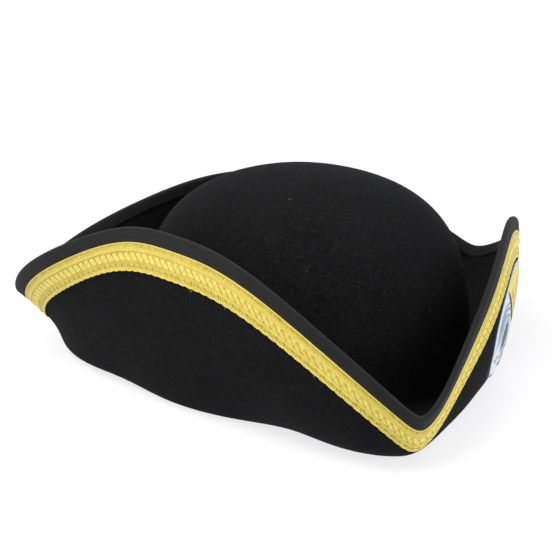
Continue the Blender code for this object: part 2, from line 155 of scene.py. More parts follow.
def crown_wall_radius(angle, z, inset):
    height = CROWN_HEIGHT - inset
    return crown_radius(angle, inset) * (1 - (z / height) ** CROWN_RISE_POWER) ** (1 / CROWN_PLAN_POWER)


def fade(along, spread):
    """A corner's influence: 1 at the corner, falling smoothly to 0 at the middle of the panel."""
    from_corner = 1 - np.abs(2 * along - 1)
    at_middle = math.exp(-spread ** -2)
    return (np.exp(-(from_corner / spread) ** 2) - at_middle) / (1 - at_middle)


def plan_radius(angle):
    total = 0.0
    for panel in PANELS:
        toward = np.maximum(0.0, np.cos(np.radians(angle - panel["facing"])))
        total = total + (toward / panel["distance"]) ** PLAN_POWER
    return total ** (-1 / PLAN_POWER)


def brim_sections(panel, angle):
    """Bezier control points (radius, height) of the underside at angles that lie in one panel."""
    first, last = CORNERS[panel["from"]], CORNERS[panel["to"]]
    width = (last["angle"] - first["angle"]) % 360
    along = ((angle - first["angle"]) % 360) / width
    ease = along * along * (3 - 2 * along)
    corner = {key: first[key] + (last[key] - first[key]) * ease for key in first}
    from_corner = 1 - np.abs(2 * along - 1)
    rounded = np.hypot(from_corner, EDGE_SOFTNESS) - EDGE_SOFTNESS
    rounded /= math.hypot(1, EDGE_SOFTNESS) - EDGE_SOFTNESS
    lift = 1 - (1 - rounded) ** panel["arch"]
    blend = 1 - fade(along, SECTION_SPREAD)
    height = corner["height"] + (panel["height"] - corner["height"]) * lift
    reach = plan_radius(angle) * (1 + (corner["reach"] - 1) * fade(along, REACH_SPREAD))
    root = corner["root"] + (PANEL_ROOT_HANDLE - corner["root"]) * blend
    edge = corner["edge"] + (PANEL_EDGE_HANDLE - corner["edge"]) * blend
    slope = np.radians(corner["slope"] + (PANEL_EDGE_SLOPE - corner["slope"]) * blend)
    to_floor = height / np.sin(slope)
    edge = (edge ** -HANDLE_LIMIT + to_floor ** -HANDLE_LIMIT) ** (-1 / HANDLE_LIMIT)
    start = crown_radius(angle) + REST_RING
    radii = stacked(start, start + root, reach - edge * np.cos(slope), reach)
    heights = stacked(0.0, 0.0, height - edge * np.sin(slope), height)
    return radii, heights


class BrimTable:
    """Points and normals of the underside, on a grid of angles and shares of the depth."""

    def __init__(self):
        share = np.linspace(0, 1, SECTION_SAMPLES)
        weights = np.stack(((1 - share) ** 3, 3 * share * (1 - share) ** 2,
                            3 * share ** 2 * (1 - share), share ** 3))
        self.length = np.zeros(TABLE_ANGLES)
        radius = np.zeros((TABLE_ANGLES, TABLE_ROWS))
        height = np.zeros((TABLE_ANGLES, TABLE_ROWS))
        steps = np.linspace(0, 1, TABLE_ROWS)
        for index, angle in enumerate(self.angles()):
            panel = next(p for p in PANELS if self.holds(p, angle))
            radii, heights = brim_sections(panel, angle)
            across, up = radii @ weights, heights @ weights
            walked = walked_along(np.hypot(np.diff(across), np.diff(up)))
            self.length[index] = walked[-1]
            radius[index] = np.interp((1 - steps) * walked[-1], walked, across)
            height[index] = np.interp((1 - steps) * walked[-1], walked, up)
        self.points = polar(self.angles()[:, None], radius, height)
        inward = np.gradient(self.points, axis=1)
        onward = np.roll(self.points, -1, axis=0) - np.roll(self.points, 1, axis=0)
        self.normals = unit(np.cross(onward, inward))

    @staticmethod
    def angles():
        return np.arange(TABLE_ANGLES) * 360.0 / TABLE_ANGLES

    @staticmethod
    def holds(panel, angle):
        start, end = CORNERS[panel["from"]]["angle"], CORNERS[panel["to"]]["angle"]
        return (angle - start) % 360 <= (end - start) % 360

    def lengths(self, angle):
        return np.interp(np.asarray(angle) % 360, self.angles(), self.length, period=360)

    def place(self, angle, depth, offset):
        """Points of the brim in crown-centred millimetres."""
        angle, depth, offset = np.broadcast_arrays(angle, depth, offset)
        column = (angle % 360) * TABLE_ANGLES / 360
        row = np.clip(depth / self.lengths(angle), 0, 1) * (TABLE_ROWS - 1)
        c0 = np.floor(column).astype(int)
        r0 = np.minimum(np.floor(row).astype(int), TABLE_ROWS - 2)
        fc, fr = (column - c0)[..., None], (row - r0)[..., None]
        c0, c1 = c0 % TABLE_ANGLES, (c0 + 1) % TABLE_ANGLES

        def mix(grid):
            low = grid[c0, r0] * (1 - fr) + grid[c0, r0 + 1] * fr
            high = grid[c1, r0] * (1 - fr) + grid[c1, r0 + 1] * fr
            return low * (1 - fc) + high * fc

        return mix(self.points) + unit(mix(self.normals)) * offset[..., None]


BRIM = BrimTable()


class EdgeWalk:
    """Angles at equal distances along the brim at one depth, from the back corner round."""

    def __init__(self, depth, offset):
        angles = CORNERS["back"]["angle"] + np.linspace(0, 360, 4 * TABLE_ANGLES + 1)
        points = BRIM.place(angles, depth, offset)
        self.walked = walked_along(np.linalg.norm(np.diff(points, axis=0), axis=1))
        self.angles = angles
        self.total = self.walked[-1]

    def even(self, count):
        """Distances and angles of evenly spaced places."""
        along = np.arange(count) * self.total / count
        return along, self.angle(along)

    def angle(self, distance):
        laps = np.floor(np.asarray(distance) / self.total)
        return np.interp(distance - laps * self.total, self.walked, self.angles) + 360 * laps


# ---- Meshes ----
TUBE_UPWARD = (0.31, 0.42, 0.85)    # a direction that no thread runs along


def add_object(name, data):
    made = bpy.data.objects.new(name, data)
    bpy.context.scene.collection.objects.link(made)
    return made


def make_mesh(name, points, faces, material, uv=None, shade=None):
    """A mesh object from crown-centred points in millimetres. uv and shade are one value per point."""
    world = (np.asarray(points, float).reshape(-1, 3) + CROWN_AXIS) * MM
    sizes = np.concatenate([np.full(len(part), part.shape[1]) for part in faces])
    loops = np.concatenate([part.ravel() for part in faces]).astype(np.int32)
    mesh = bpy.data.meshes.new(name)
    mesh.vertices.add(len(world))
    mesh.vertices.foreach_set("co", world.astype(np.float32).ravel())
    mesh.loops.add(len(loops))
    mesh.loops.foreach_set("vertex_index", loops)
    mesh.polygons.add(len(sizes))
    mesh.polygons.foreach_set("loop_start", walked_along(sizes)[:-1].astype(np.int32))
    mesh.polygons.foreach_set("loop_total", sizes.astype(np.int32))
    mesh.update(calc_edges=True)
    mesh.polygons.foreach_set("use_smooth", np.full(len(sizes), True))
    if uv is not None:
        layer = mesh.uv_layers.new(name="cloth")
        layer.data.foreach_set("uv", np.asarray(uv, np.float32)[loops].ravel())
    if shade is not None:
        tone = mesh.attributes.new("tone", "FLOAT", "POINT")
        tone.data.foreach_set("value", np.asarray(shade, np.float32).ravel())
    mesh.materials.append(material)
    if signed_volume(world, faces) < 0:
        mesh.flip_normals()
    return add_object(name, mesh)


def signed_volume(world, faces):
    centred = world - world.mean(axis=0)
    total = 0.0
    for part in faces:
        for second in range(1, part.shape[1] - 1):
            a, b, c = (centred[part[:, corner]] for corner in (0, second, second + 1))
            total += np.einsum("ij,ij->", a, np.cross(b, c))
    return total


def grid_faces(count, length, closed_path=True, closed_section=True):
    """Quads over count sections of length points each."""
    here = np.arange(count if closed_path else count - 1)
    row = np.arange(length if closed_section else length - 1)
    near = (here * length)[:, None] + row
    far = (here * length)[:, None] + (row + 1) % length
    ahead = ((here + 1) % count * length)[:, None]
    return np.stack((near, ahead + row, ahead + (row + 1) % length, far), axis=-1).reshape(-1, 4)


def end_caps(count, length):
    """Flat faces on the first and the last of count sections."""
    ring = np.arange(length)
    return np.stack((ring, ring[::-1] + (count - 1) * length))


def sweep(name, sections, material, uv, shade=None, closed_path=True):
    """A skin round closed sections; an open path gets flat caps."""
    count, length = sections.shape[:2]
    faces = [grid_faces(count, length, closed_path)]
    if not closed_path:
        faces.append(end_caps(count, length))
    return make_mesh(name, sections, faces, material, uv.reshape(-1, 2), shade)


def domed(name, sections, first_hub, last_hub, material, uv=None, backward=False):
    """A closed skin over a ring of open sections, drawn together to a hub at either end."""
    count, tall = sections.shape[:2]
    here = np.arange(count) * tall
    there = np.roll(here, -1)
    hubs = np.full(count, count * tall)
    faces = [grid_faces(count, tall, closed_section=False), np.stack((there, here, hubs), axis=-1),
             np.stack((here + tall - 1, there + tall - 1, hubs + 1), axis=-1)]
    if backward:
        faces = [part[:, ::-1] for part in faces]
    points = np.concatenate((sections.reshape(-1, 3), [first_hub, last_hub]))
    return make_mesh(name, points, faces, material, uv)


def tubes(name, paths, radius, material, sides=5, normals=TUBE_UPWARD):
    """Many short closed tubes as one mesh. paths is (tubes, points, 3) in millimetres."""
    many, count = paths.shape[:2]
    ahead = unit(np.gradient(paths, axis=1))
    side = unit(np.cross(ahead, normals))
    up = np.cross(side, ahead)
    swing = full_turn(sides)[:, None]
    ring = side[:, :, None] * np.cos(swing) + up[:, :, None] * np.sin(swing)
    points = paths[:, :, None] + ring * np.broadcast_to(radius, (many, count))[:, :, None, None]
    base = (np.arange(many) * count * sides)[:, None, None]
    faces = [(grid_faces(count, sides, closed_path=False) + base).reshape(-1, 4),
             (end_caps(count, sides) + base).reshape(-1, sides)]
    return make_mesh(name, points, faces, material)


# ---- Materials ----
CLOTH_CELL = 1.0                 # texture scale on cloth that has already been stretched to size


class Look:
    """A Principled material with constant sockets, and the nodes that drive its other sockets."""

    def __init__(self, name, sockets):
        self.material = bpy.data.materials.new(name)
        self.material.use_nodes = True
        self.tree = self.material.node_tree
        self.shader = self.tree.nodes["Principled BSDF"]
        for socket, value in sockets.items():
            self.shader.inputs[socket].default_value = (*value, 1.0) if isinstance(value, tuple) else value

    def drive(self, socket, value):
        self.tree.links.new(value, self.shader.inputs[socket])

    def node(self, kind, inputs, **settings):
        """A shader node; an input that is a socket is linked, and any other is set."""
        made = self.tree.nodes.new("ShaderNode" + kind)
        for key, value in settings.items():
            setattr(made, key, value)
        for key, value in inputs.items():
            if isinstance(value, bpy.types.NodeSocket):
                self.tree.links.new(value, made.inputs[key])
            else:
                made.inputs[key].default_value = value
        return made

    def cloth(self):
        """Millimetres along and across a strip of cloth."""
        return self.node("UVMap", {}, uv_map="cloth").outputs[0]

    def space(self):
        """Metres in space."""
        return self.node("TexCoord", {}).outputs["Object"]

    def stretched(self, place, scale, turn=0.0):
        inputs = {"Vector": place, "Scale": scale, "Rotation": (0.0, 0.0, turn)}
        return self.node("Mapping", inputs).outputs[0]

    def noise(self, place, scale=CLOTH_CELL, detail=3.0, roughness=0.6, output="Fac"):
        inputs = {"Vector": place, "Scale": scale, "Detail": detail, "Roughness": roughness}
        return self.node("TexNoise", inputs).outputs[output]

    def cells(self, place, scale, output):
        return self.node("TexVoronoi", {"Vector": place, "Scale": scale}).outputs[output]

    def wave(self, place, scale, distortion, detail, detail_scale=1.0, **settings):
        inputs = {"Vector": place, "Scale": scale, "Distortion": distortion, "Detail": detail,
                  "Detail Scale": detail_scale}
        return self.node("TexWave", inputs, **settings).outputs["Fac"]

    def ramp(self, value, *stops):
        """A ramp over (position, colour) stops; a single number is a grey."""
        made = self.node("ValToRGB", {"Fac": value})
        elements = made.color_ramp.elements
        while len(elements) < len(stops):
            elements.new(0.5)
        for element, (position, colour) in zip(elements, stops):
            element.position = position
            element.color = (*colour, 1.0) if isinstance(colour, tuple) else (colour, colour, colour, 1.0)
        return made.outputs["Color"]

    def blend(self, amount, first, second, mode="MIX"):
        made = self.node("Mix", {"Factor": amount}, data_type="RGBA", blend_type=mode)
        colours = [socket for socket in made.inputs if socket.type == "RGBA"]
        for socket, value in zip(colours, (first, second)):
            if isinstance(value, bpy.types.NodeSocket):
                self.tree.links.new(value, socket)
            else:
                socket.default_value = (*value, 1.0)
        return next(socket for socket in made.outputs if socket.type == "RGBA")

    def maths(self, operation, first, second):
        return self.node("Math", {0: first, 1: second}, operation=operation).outputs[0]

    def weighted(self, *terms):
        """The sum of (value, weight) terms."""
        parts = [self.maths("MULTIPLY", value, weight) for value, weight in terms]
        total = parts[0]
        for part in parts[1:]:
            total = self.maths("ADD", total, part)
        return total

    def relief(self, *layers):
        """Bumps of (height, distance, strength), each riding on the one before."""
        under = {}
        for height, distance, strength in layers:
            inputs = {"Height": height, "Distance": distance, "Strength": strength, **under}
            under = {"Normal": self.node("Bump", inputs).outputs[0]}
        self.drive("Normal", under["Normal"])


def felt_material():
    """Matted wool: a near-black ground, slightly paler crossed fibres, specks of lint and a faint sheen."""
    look = Look("wool_felt", {"Specular IOR Level": 0.03, "Sheen Weight": 0.022, "Sheen Roughness": 0.45,
                              "Sheen Tint": (0.72, 0.74, 0.80)})
    place = look.space()
    cloudy = look.noise(place, 28.0, 4.0)
    matted = look.noise(place, 520.0, 5.0, 0.7)
    warp = look.noise(place, 240.0, 2.0, 0.5, "Color")
    bent = look.node("VectorMath", {0: place, 1: look.blend(0.994, warp, (0.5, 0.5, 0.5))},
                     operation="ADD").outputs[0]
    fibres = []
    for turn in (0.4, 1.5, 2.5):
        strands = look.noise(look.stretched(bent, (2600.0, 260.0, 700.0), turn), detail=1.0)
        fibres.append(look.maths("POWER", strands, 5.0))
    crossed = look.maths("ADD", look.maths("ADD", fibres[0], fibres[1]), fibres[2])
    ground = look.ramp(cloudy, (0.25, (0.0022, 0.0022, 0.0024)), (0.75, (0.0044, 0.0044, 0.0047)))
    lit = look.blend(look.maths("MULTIPLY", crossed, 1.5), ground, (0.020, 0.0205, 0.022))
    dust = look.ramp(look.cells(place, 75.0, "Distance"), (0.0, 1.0), (0.035, 0.0))
    look.drive("Base Color", look.blend(look.maths("MULTIPLY", dust, 0.2), lit, (0.12, 0.13, 0.16)))
    look.drive("Roughness", look.ramp(matted, (0.3, 0.84), (0.7, 0.98)))
    look.relief((matted, 0.0004, 0.9), (crossed, 0.00015, 0.7))
    return look.material


def fibre_material(name, sockets, scale, dark, light):
    """Loose fibres: one tone that wanders from a dark (position, colour) stop to a light one."""
    look = Look(name, sockets)
    look.drive("Base Color", look.ramp(look.noise(look.space(), scale, 1.0), dark, light))
    return look.material


def ribbon_material(name, dark, light, pitch, sheen=0.06):
    """Grosgrain: a rib across the ribbon every pitch millimetres, wound with fine thread."""
    look = Look(name, {"Specular IOR Level": 0.10, "Sheen Weight": sheen, "Sheen Roughness": 0.45,
                       "Sheen Tint": (0.80, 0.81, 0.84)})
    cloth = look.cloth()
    ribs = look.wave(cloth, 2 * math.pi / (20.0 * pitch), 0.9, 2.0, 1.6)
    threads = look.noise(look.stretched(cloth, (9.0, 1.2, 1.0)))
    worn = look.noise(look.stretched(cloth, (0.05, 0.2, 1.0)))
    colour = look.ramp(look.weighted((ribs, 0.45), (threads, 0.75)), (0.25, dark), (0.85, light))
    faded = look.blend(look.maths("MULTIPLY", worn, 0.3), colour, tuple(1.4 * c for c in light))
    look.drive("Base Color", faded)
    look.drive("Roughness", look.ramp(threads, (0.3, 0.5), (0.7, 0.75)))
    look.relief((ribs, 0.00018, 0.45), (threads, 0.00008, 0.6))
    return look.material


def metal_thread_material(name, twist, deep):
    """Flat metal foil wound on thread: glints and darker gaps that follow the cloth's own direction, partly
    painted highlight and painted shade.
    """
    look = Look(name, {"Specular IOR Level": 0.8})
    cloth = look.cloth()
    # per-point tone: the braid's pattern and random mottle, with painted shade in dents and grooves and
    # painted highlight on ridges
    tone = look.node("Attribute", {}, attribute_name="tone").outputs["Fac"]
    fine = look.noise(look.stretched(cloth, (5.5, 1.6, 1.0), twist), roughness=0.65)
    flecks = look.cells(look.stretched(cloth, (2.4, 1.3, 1.0), twist), CLOTH_CELL, "Color")
    patchy = look.noise(look.stretched(cloth, (0.16, 0.30, 1.0)), detail=2.0)
    mixed = look.weighted((fine, 0.62), (tone, 0.66), (look.maths("SUBTRACT", patchy, 0.5), 0.30))
    # the ramp's light end is partly painted highlight and its dark end partly painted shade
    colour = look.ramp(mixed, (0.33, deep), (0.60, (0.63, 0.50, 0.062)), (0.88, (0.88, 0.76, 0.18)))
    look.drive("Base Color", look.blend(0.12, colour, flecks, "SOFT_LIGHT"))
    look.drive("Metallic", look.ramp(fine, (0.35, 0.15), (0.65, 0.50)))
    look.drive("Roughness", look.ramp(fine, (0.3, 0.55), (0.7, 0.30)))
    strands = look.wave(look.stretched(cloth, (1.0, 1.0, 1.0), twist), 0.85, 1.6, 2.0)
    look.relief((strands, 0.00018, 0.6), (fine, 0.00010, 0.7))
    return look.material


def embroidery_material(name, dark, mid, light, turn, metallic=0.0, roughness=0.42):
    """Satin stitch: parallel glossy threads, in rows that lie along one direction of the patch."""
    look = Look(name, {"Specular IOR Level": 0.5, "Metallic": metallic, "Sheen Weight": 0.15,
                       "Sheen Roughness": 0.3, "Anisotropic": 0.5})
    cloth = look.stretched(look.cloth(), (1.0, 1.0, 1.0), turn)
    threads = look.wave(cloth, 0.62, 0.5, 1.0)
    lengths = look.noise(look.stretched(cloth, (3.2, 0.35, 1.0)), detail=2.0)
    rows = look.noise(look.stretched(cloth, (0.3, 0.22, 1.0)), detail=2.0)
    mixed = look.weighted((threads, 0.35), (lengths, 0.5), (rows, 0.25))
    look.drive("Base Color", look.ramp(mixed, (0.25, dark), (0.5, mid), (0.8, light)))
    look.drive("Roughness", look.ramp(lengths, (0.3, roughness + 0.12), (0.7, roughness - 0.1)))
    look.relief((threads, 0.00025, 0.8), (lengths, 0.00012, 0.7))
    return look.material


def twill_material():
    """Plain dark cloth woven in fine diagonal ribs."""
    look = Look("patch_twill", {"Specular IOR Level": 0.2, "Sheen Weight": 0.15})
    cloth = look.cloth()
    diagonal = look.wave(cloth, 0.7, 0.4, 1.0, bands_direction="DIAGONAL")
    slubs = look.noise(look.stretched(cloth, (0.8, 4.0, 1.0)))
    woven = look.maths("MULTIPLY", diagonal, slubs)
    look.drive("Base Color", look.ramp(woven, (0.15, (0.006, 0.006, 0.010)), (0.5, (0.030, 0.030, 0.042))))
    look.drive("Roughness", look.ramp(slubs, (0.3, 0.75), (0.7, 0.92)))
    look.relief((diagonal, 0.0002, 0.8))
    return look.material


def thread_material(name, dark, light):
    """Sewing thread, or a wire covered in it: tones that run in fine windings."""
    look = Look(name, {"Specular IOR Level": 0.3, "Roughness": 0.6})
    wound = look.noise(look.stretched(look.space(), (900.0, 1890.0, 1170.0)), detail=2.0)
    look.drive("Base Color", look.ramp(wound, (0.35, dark), (0.65, light)))
    look.relief((wound, 0.0001, 0.8))
    return look.material


# ---- Felt ----
FELT_STEPS_PER_PANEL = 148
CORNER_CROWDING = 0.6
DOME_ROWS = 56
FILLET_ROWS = 5
BRIM_ROWS = 62
LINING_ROWS = 22
PROFILE_SAMPLES = 4000
EDGE_MIDDLE = 3.05               # depth of the middle of the felt's rounded edge
ROOT_OVERLAP = 1.0
OPENING_ROUNDING = 0.6
UNEVENNESS = 0.28
SMOOTH_BELOW_BRAID = 2.0
UNEVEN_FADE_OUT = 25.0           # over this depth the unevenness sets in below the braid
UNEVEN_FADE_IN = 20.0            # and over this depth it dies away towards the crown
CROWN_HEART = (0, 0, 40)
CROWN_SPAN = 95.0
CROWN_UNEVENNESS = 0.8


def step_angles(per_panel):
    angles = []
    for panel in PANELS:
        start = CORNERS[panel["from"]]["angle"]
        width = (CORNERS[panel["to"]]["angle"] - start) % 360
        even = np.arange(per_panel) / per_panel
        angles.append(start + width * (even - CORNER_CROWDING * np.sin(2 * np.pi * even) / (2 * np.pi)))
    return np.concatenate(angles)


def dome_profile(rows, lowest):
    """Shares of the crown's radius and height at equal steps down its side, apex left out."""
    turn = np.linspace(0, np.pi / 2, PROFILE_SAMPLES)
    around = np.sin(turn) ** (2 / CROWN_PLAN_POWER)
    lift = np.cos(turn) ** (2 / CROWN_RISE_POWER)
    kept = lift >= lowest
    around, lift = around[kept], lift[kept]
    walked = walked_along(np.hypot(CROWN_HALF_WIDTH * np.diff(around), CROWN_HEIGHT * np.diff(lift)))
    steps = walked[-1] * np.arange(1, rows + 1) / rows
    return np.interp(steps, walked, around), np.interp(steps, walked, lift)


WAVES = [(RANDOM.normal(0, 0.045, 3), RANDOM.uniform(0, 6.28)) for _ in range(12)]


def unevenness(points):
    """Slow hollows and swells, as hand-blocked felt has."""
    total = sum(np.sin(points @ wave + phase) for wave, phase in WAVES)
    return UNEVENNESS * total / math.sqrt(len(WAVES))


def felt_on_brim(angle, depth, side):
    """The felt's surface: side is 0 for the underside and FELT for the upper side."""
    smooth = BRIM.place(angle, depth, side)
    below_braid = np.clip((depth - BRAID_BOTTOM - SMOOTH_BELOW_BRAID) / UNEVEN_FADE_OUT, 0, 1)
    off_crown = np.clip((BRIM.lengths(angle) - depth) / UNEVEN_FADE_IN, 0, 1)
    return BRIM.place(angle, depth, side + unevenness(smooth) * (below_braid * off_crown))


def felt_on_crown(angle, around, lift):
    smooth = polar(angle, crown_radius(angle) * around, CROWN_HEIGHT * lift)
    swell = unevenness(smooth) * np.clip(lift * 4 - 0.3, 0, 1) * (1 - 0.3 * (lift > 0.995))
    return smooth + (smooth - CROWN_HEART) / CROWN_SPAN * swell[..., None] * CROWN_UNEVENNESS


def make_felt(material):
    """Crown and brim in one closed skin, from the apex out to the edge and back up inside."""
    angle = step_angles(FELT_STEPS_PER_PANEL)
    foot = FELT + CROWN_FILLET
    around, lift = dome_profile(DOME_ROWS, foot / CROWN_HEIGHT)
    rows = [felt_on_crown(angle, a, l) for a, l in zip(around, lift)]
    wall = crown_wall_radius(angle, foot, 0.0)
    for turn in np.linspace(0, np.pi / 2, FILLET_ROWS + 1)[1:]:
        out = CROWN_FILLET * (1 - math.cos(turn))
        rows.append(polar(angle, wall + out, FELT + CROWN_FILLET * (1 - math.sin(turn))))
    length = BRIM.lengths(angle)
    flat_start = CROWN_FILLET - REST_RING + ROOT_OVERLAP
    reach = (length - flat_start) - EDGE_MIDDLE
    shares = np.linspace(0, 1, BRIM_ROWS)
    rows += [felt_on_brim(angle, length - flat_start - reach * share, FELT) for share in shares]
    for turn in np.radians((45, 90, 135)):
        out, up = FOLD_CENTRE * math.sin(turn), FOLD_CENTRE * math.cos(turn)
        rows.append(BRIM.place(angle, EDGE_MIDDLE - out, FOLD_CENTRE + up))
    rows += [felt_on_brim(angle, length - (length - EDGE_MIDDLE) * share, 0.0) for share in shares[::-1]]
    opening = crown_radius(angle, FELT)
    rows.append(polar(angle, opening + OPENING_ROUNDING, 0.0))
    rows.append(polar(angle, opening, OPENING_ROUNDING))
    inside, up = dome_profile(LINING_ROWS, 2 * OPENING_ROUNDING / CROWN_HEIGHT)
    rows += [polar(angle, opening * a, (CROWN_HEIGHT - FELT) * l) for a, l in zip(inside[::-1], up[::-1])]
    grid = np.stack(rows, axis=1)
    apex = grid[:, 0, 2].max() + 0.02
    return domed("felt_shell", grid, (0, 0, apex), (0, 0, CROWN_HEIGHT - FELT), material)


NAP_FIBRES = 14000
NAP_LENGTH = (0.35, 1.15)
NAP_RADIUS = 0.022
NAP_TAPER = (1.0, 0.8, 0.15)
NAP_ROOT = 0.05                  # depth of a fibre's root in the felt
NAP_OFF_TABLE = 0.4
CROWN_SCATTER_ROWS = 400


def nap(name, roots, normals, material):
    """Short loose wool fibres that stand out of the felt, each bent a different way."""
    many = len(roots)
    lean = RANDOM.normal(0, 0.55, (many, 3))
    bend = RANDOM.normal(0, 0.5, (many, 3))
    length = RANDOM.uniform(*NAP_LENGTH, (many, 1)) * RANDOM.uniform(0.4, 1.0, (many, 1))
    first = unit(normals + lean)
    middle = roots + first * length * 0.5
    paths = np.stack((roots - normals * NAP_ROOT, middle, middle + (first + bend) * length * 0.5), axis=1)
    radius = NAP_RADIUS * RANDOM.uniform(0.6, 1.3, (many, 1)) * np.array(NAP_TAPER)
    return tubes(name, paths, radius, material, sides=3)


def scatter_on_crown(many):
    """Random places on the crown, and the felt's direction outward at each."""
    angle = RANDOM.uniform(0, 360, many)
    around, lift = dome_profile(CROWN_SCATTER_ROWS, (FELT + CROWN_FILLET) / CROWN_HEIGHT)
    pick = RANDOM.choice(CROWN_SCATTER_ROWS, many, p=around / around.sum())

    def surface(angle, row):
        row = np.clip(row, 0, CROWN_SCATTER_ROWS - 1)
        return felt_on_crown(angle, around[row], lift[row])

    roots = surface(angle, pick)
    beside = surface(angle + 0.2, pick) - roots
    down = surface(angle, pick + 4) - surface(angle, pick - 4)
    return roots, unit(np.cross(down, beside))


def scatter_on_brim(many, nearest):
    """Random places on both sides of the brim, clear of the trim and of the table."""
    angle = RANDOM.uniform(0, 360, many)
    side = np.where(RANDOM.uniform(0, 1, many) < 0.5, 0.0, FELT)
    trim = np.where(side > 0, BINDING_WIDTH + 1, nearest)
    depth = trim + (BRIM.lengths(angle) - trim - REST_RING) * RANDOM.uniform(0, 1, many)
    roots = felt_on_brim(angle, depth, side)
    upward = BRIM.place(angle, depth, side + 1) - BRIM.place(angle, depth, side)
    clear = (side > 0) | (roots[:, 2] > NAP_LENGTH[1] + NAP_OFF_TABLE)
    return roots[clear], np.where(side[:, None] > 0, upward, -upward)[clear]


LINT_PIECES = 46
LINT_LENGTH = (0.6, 2.0)
LINT_RADIUS = (0.03, 0.06)
LINT_TAPER = (0.4, 0.8, 1, 1, 1, 0.8, 0.4)


def make_lint(material):
    """Pale fibres of other wool that have settled on the felt."""
    half = LINT_PIECES // 2
    placed = zip(scatter_on_crown(half), scatter_on_brim(half, BRAID_BOTTOM + 3))
    roots, normals = (np.concatenate(parts) for parts in placed)
    many = len(roots)
    across = unit(np.cross(normals, RANDOM.normal(0, 1, (many, 3))))
    other = np.cross(normals, across)
    along = np.linspace(-0.5, 0.5, len(LINT_TAPER))[None, :, None]
    length = RANDOM.uniform(*LINT_LENGTH, (many, 1, 1))
    curl = RANDOM.uniform(-0.5, 0.5, (many, 1, 1))
    lift = 0.12 + 0.10 * np.cos(along * 3.0)
    paths = roots[:, None] + length * (along * across[:, None] + curl * (along ** 2) * 3 * other[:, None])
    paths = paths + normals[:, None] * lift
    radius = RANDOM.uniform(*LINT_RADIUS, (many, 1)) * np.array(LINT_TAPER)
    return tubes("felt_lint", paths, radius, material, sides=4)


# ---- Binding ----
RIB_PITCH = 0.9
RIB_SAMPLES = 4
RIB_RELIEF = 0.06
FACE_SHARES = (1.0, 0.97, 0.66, 0.33)   # places across one face, from its edge to the fold
FOLD_STEPS = 6
EDGE_ROLL = 0.22                 # the ribbon's edge dips this far towards the felt
GLUE_GAP = 0.04
FOLD_INSIDE = 3.0


def make_binding(material):
    """Grosgrain ribbon folded over the felt's edge, with its ribs across it."""
    walk = EdgeWalk(0.0, FOLD_CENTRE)
    count = round(walk.total / RIB_PITCH) * RIB_SAMPLES
    along, angle = walk.even(count)
    rib = RIB_RELIEF * np.abs(np.sin(np.pi * np.arange(count) / RIB_SAMPLES)) - RIB_RELIEF / 2
    laps = along * 2 * np.pi / walk.total
    wander = 0.16 * np.sin(laps * 23) + 0.12 * np.sin(laps * 57 + 2)
    arc = math.pi * FOLD_RADIUS / FOLD_STEPS
    flat = BINDING_WIDTH - FOLD_RADIUS
    # Each row of the outline: depth, offset, outward depth, outward offset, place across, share of the face.
    upper, outer = ([(FOLD_RADIUS + flat * share, FOLD_CENTRE + side * FOLD_RADIUS, 0, side,
                      -side * (flat * share + FOLD_STEPS / 2 * arc), share) for share in FACE_SHARES]
                    for side in (1, -1))
    fold = []
    for step in range(FOLD_STEPS + 1):
        out, up = math.sin(math.pi * step / FOLD_STEPS), math.cos(math.pi * step / FOLD_STEPS)
        fold.append((FOLD_RADIUS - FOLD_RADIUS * out, FOLD_CENTRE + FOLD_RADIUS * up, -out, up,
                     (step - FOLD_STEPS / 2) * arc, 0))
    columns, places = [], []
    for depth, offset, out_depth, out_offset, across, share in upper + fold + outer[::-1]:
        rolled = EDGE_ROLL if share == 1.0 else 0.0
        columns.append(BRIM.place(angle, depth + out_depth * rib + wander * share,
                                  offset + out_offset * (rib - rolled)))
        places.append(stacked(along, across))
    for depth, offset in ((BINDING_WIDTH, -GLUE_GAP), (FOLD_INSIDE, -GLUE_GAP), (RIBBON, FOLD_CENTRE),
                          (FOLD_INSIDE, FELT + GLUE_GAP), (BINDING_WIDTH, FELT + GLUE_GAP)):
        columns.append(BRIM.place(angle, depth + wander * (depth == BINDING_WIDTH), offset))
        places.append(stacked(along, depth))
    made = sweep("binding_ribbon", np.stack(columns, axis=1), material, np.stack(places, axis=1))
    return made, walk.total


STITCH_PITCH = 3.1
STITCH_LENGTH = 1.9
STITCH_POINTS = 6
STITCH_RADIUS = 0.15


def stitch_row(name, depth, side, pitch, length, material, rise=None):
    """Stitches that dive into the cloth at both ends, on the binding or a height above the felt's underside.

    side is +1 for the upper face and -1 for the outer one.
    """
    walk = EdgeWalk(depth, 0.0)
    many = round(walk.total / pitch)
    start = (np.arange(many) + RANDOM.uniform(-0.04, 0.04, many)) * walk.total / many
    along = np.linspace(0, 1, STITCH_POINTS)
    angle = walk.angle(start[:, None] + along * length)
    surface = FOLD_CENTRE + side * FOLD_RADIUS if rise is None else -rise
    arch = side * (STITCH_RADIUS * 0.9 - STITCH_RADIUS * 2.4 * np.abs(2 * along - 1) ** 3)
    drift = depth + RANDOM.uniform(-0.08, 0.08, (many, 1))
    paths = BRIM.place(angle, drift, surface + arch)
    out = BRIM.place(angle, drift, surface + 1.0) - BRIM.place(angle, drift, surface)
    return tubes(name, paths, STITCH_RADIUS, material, normals=out)


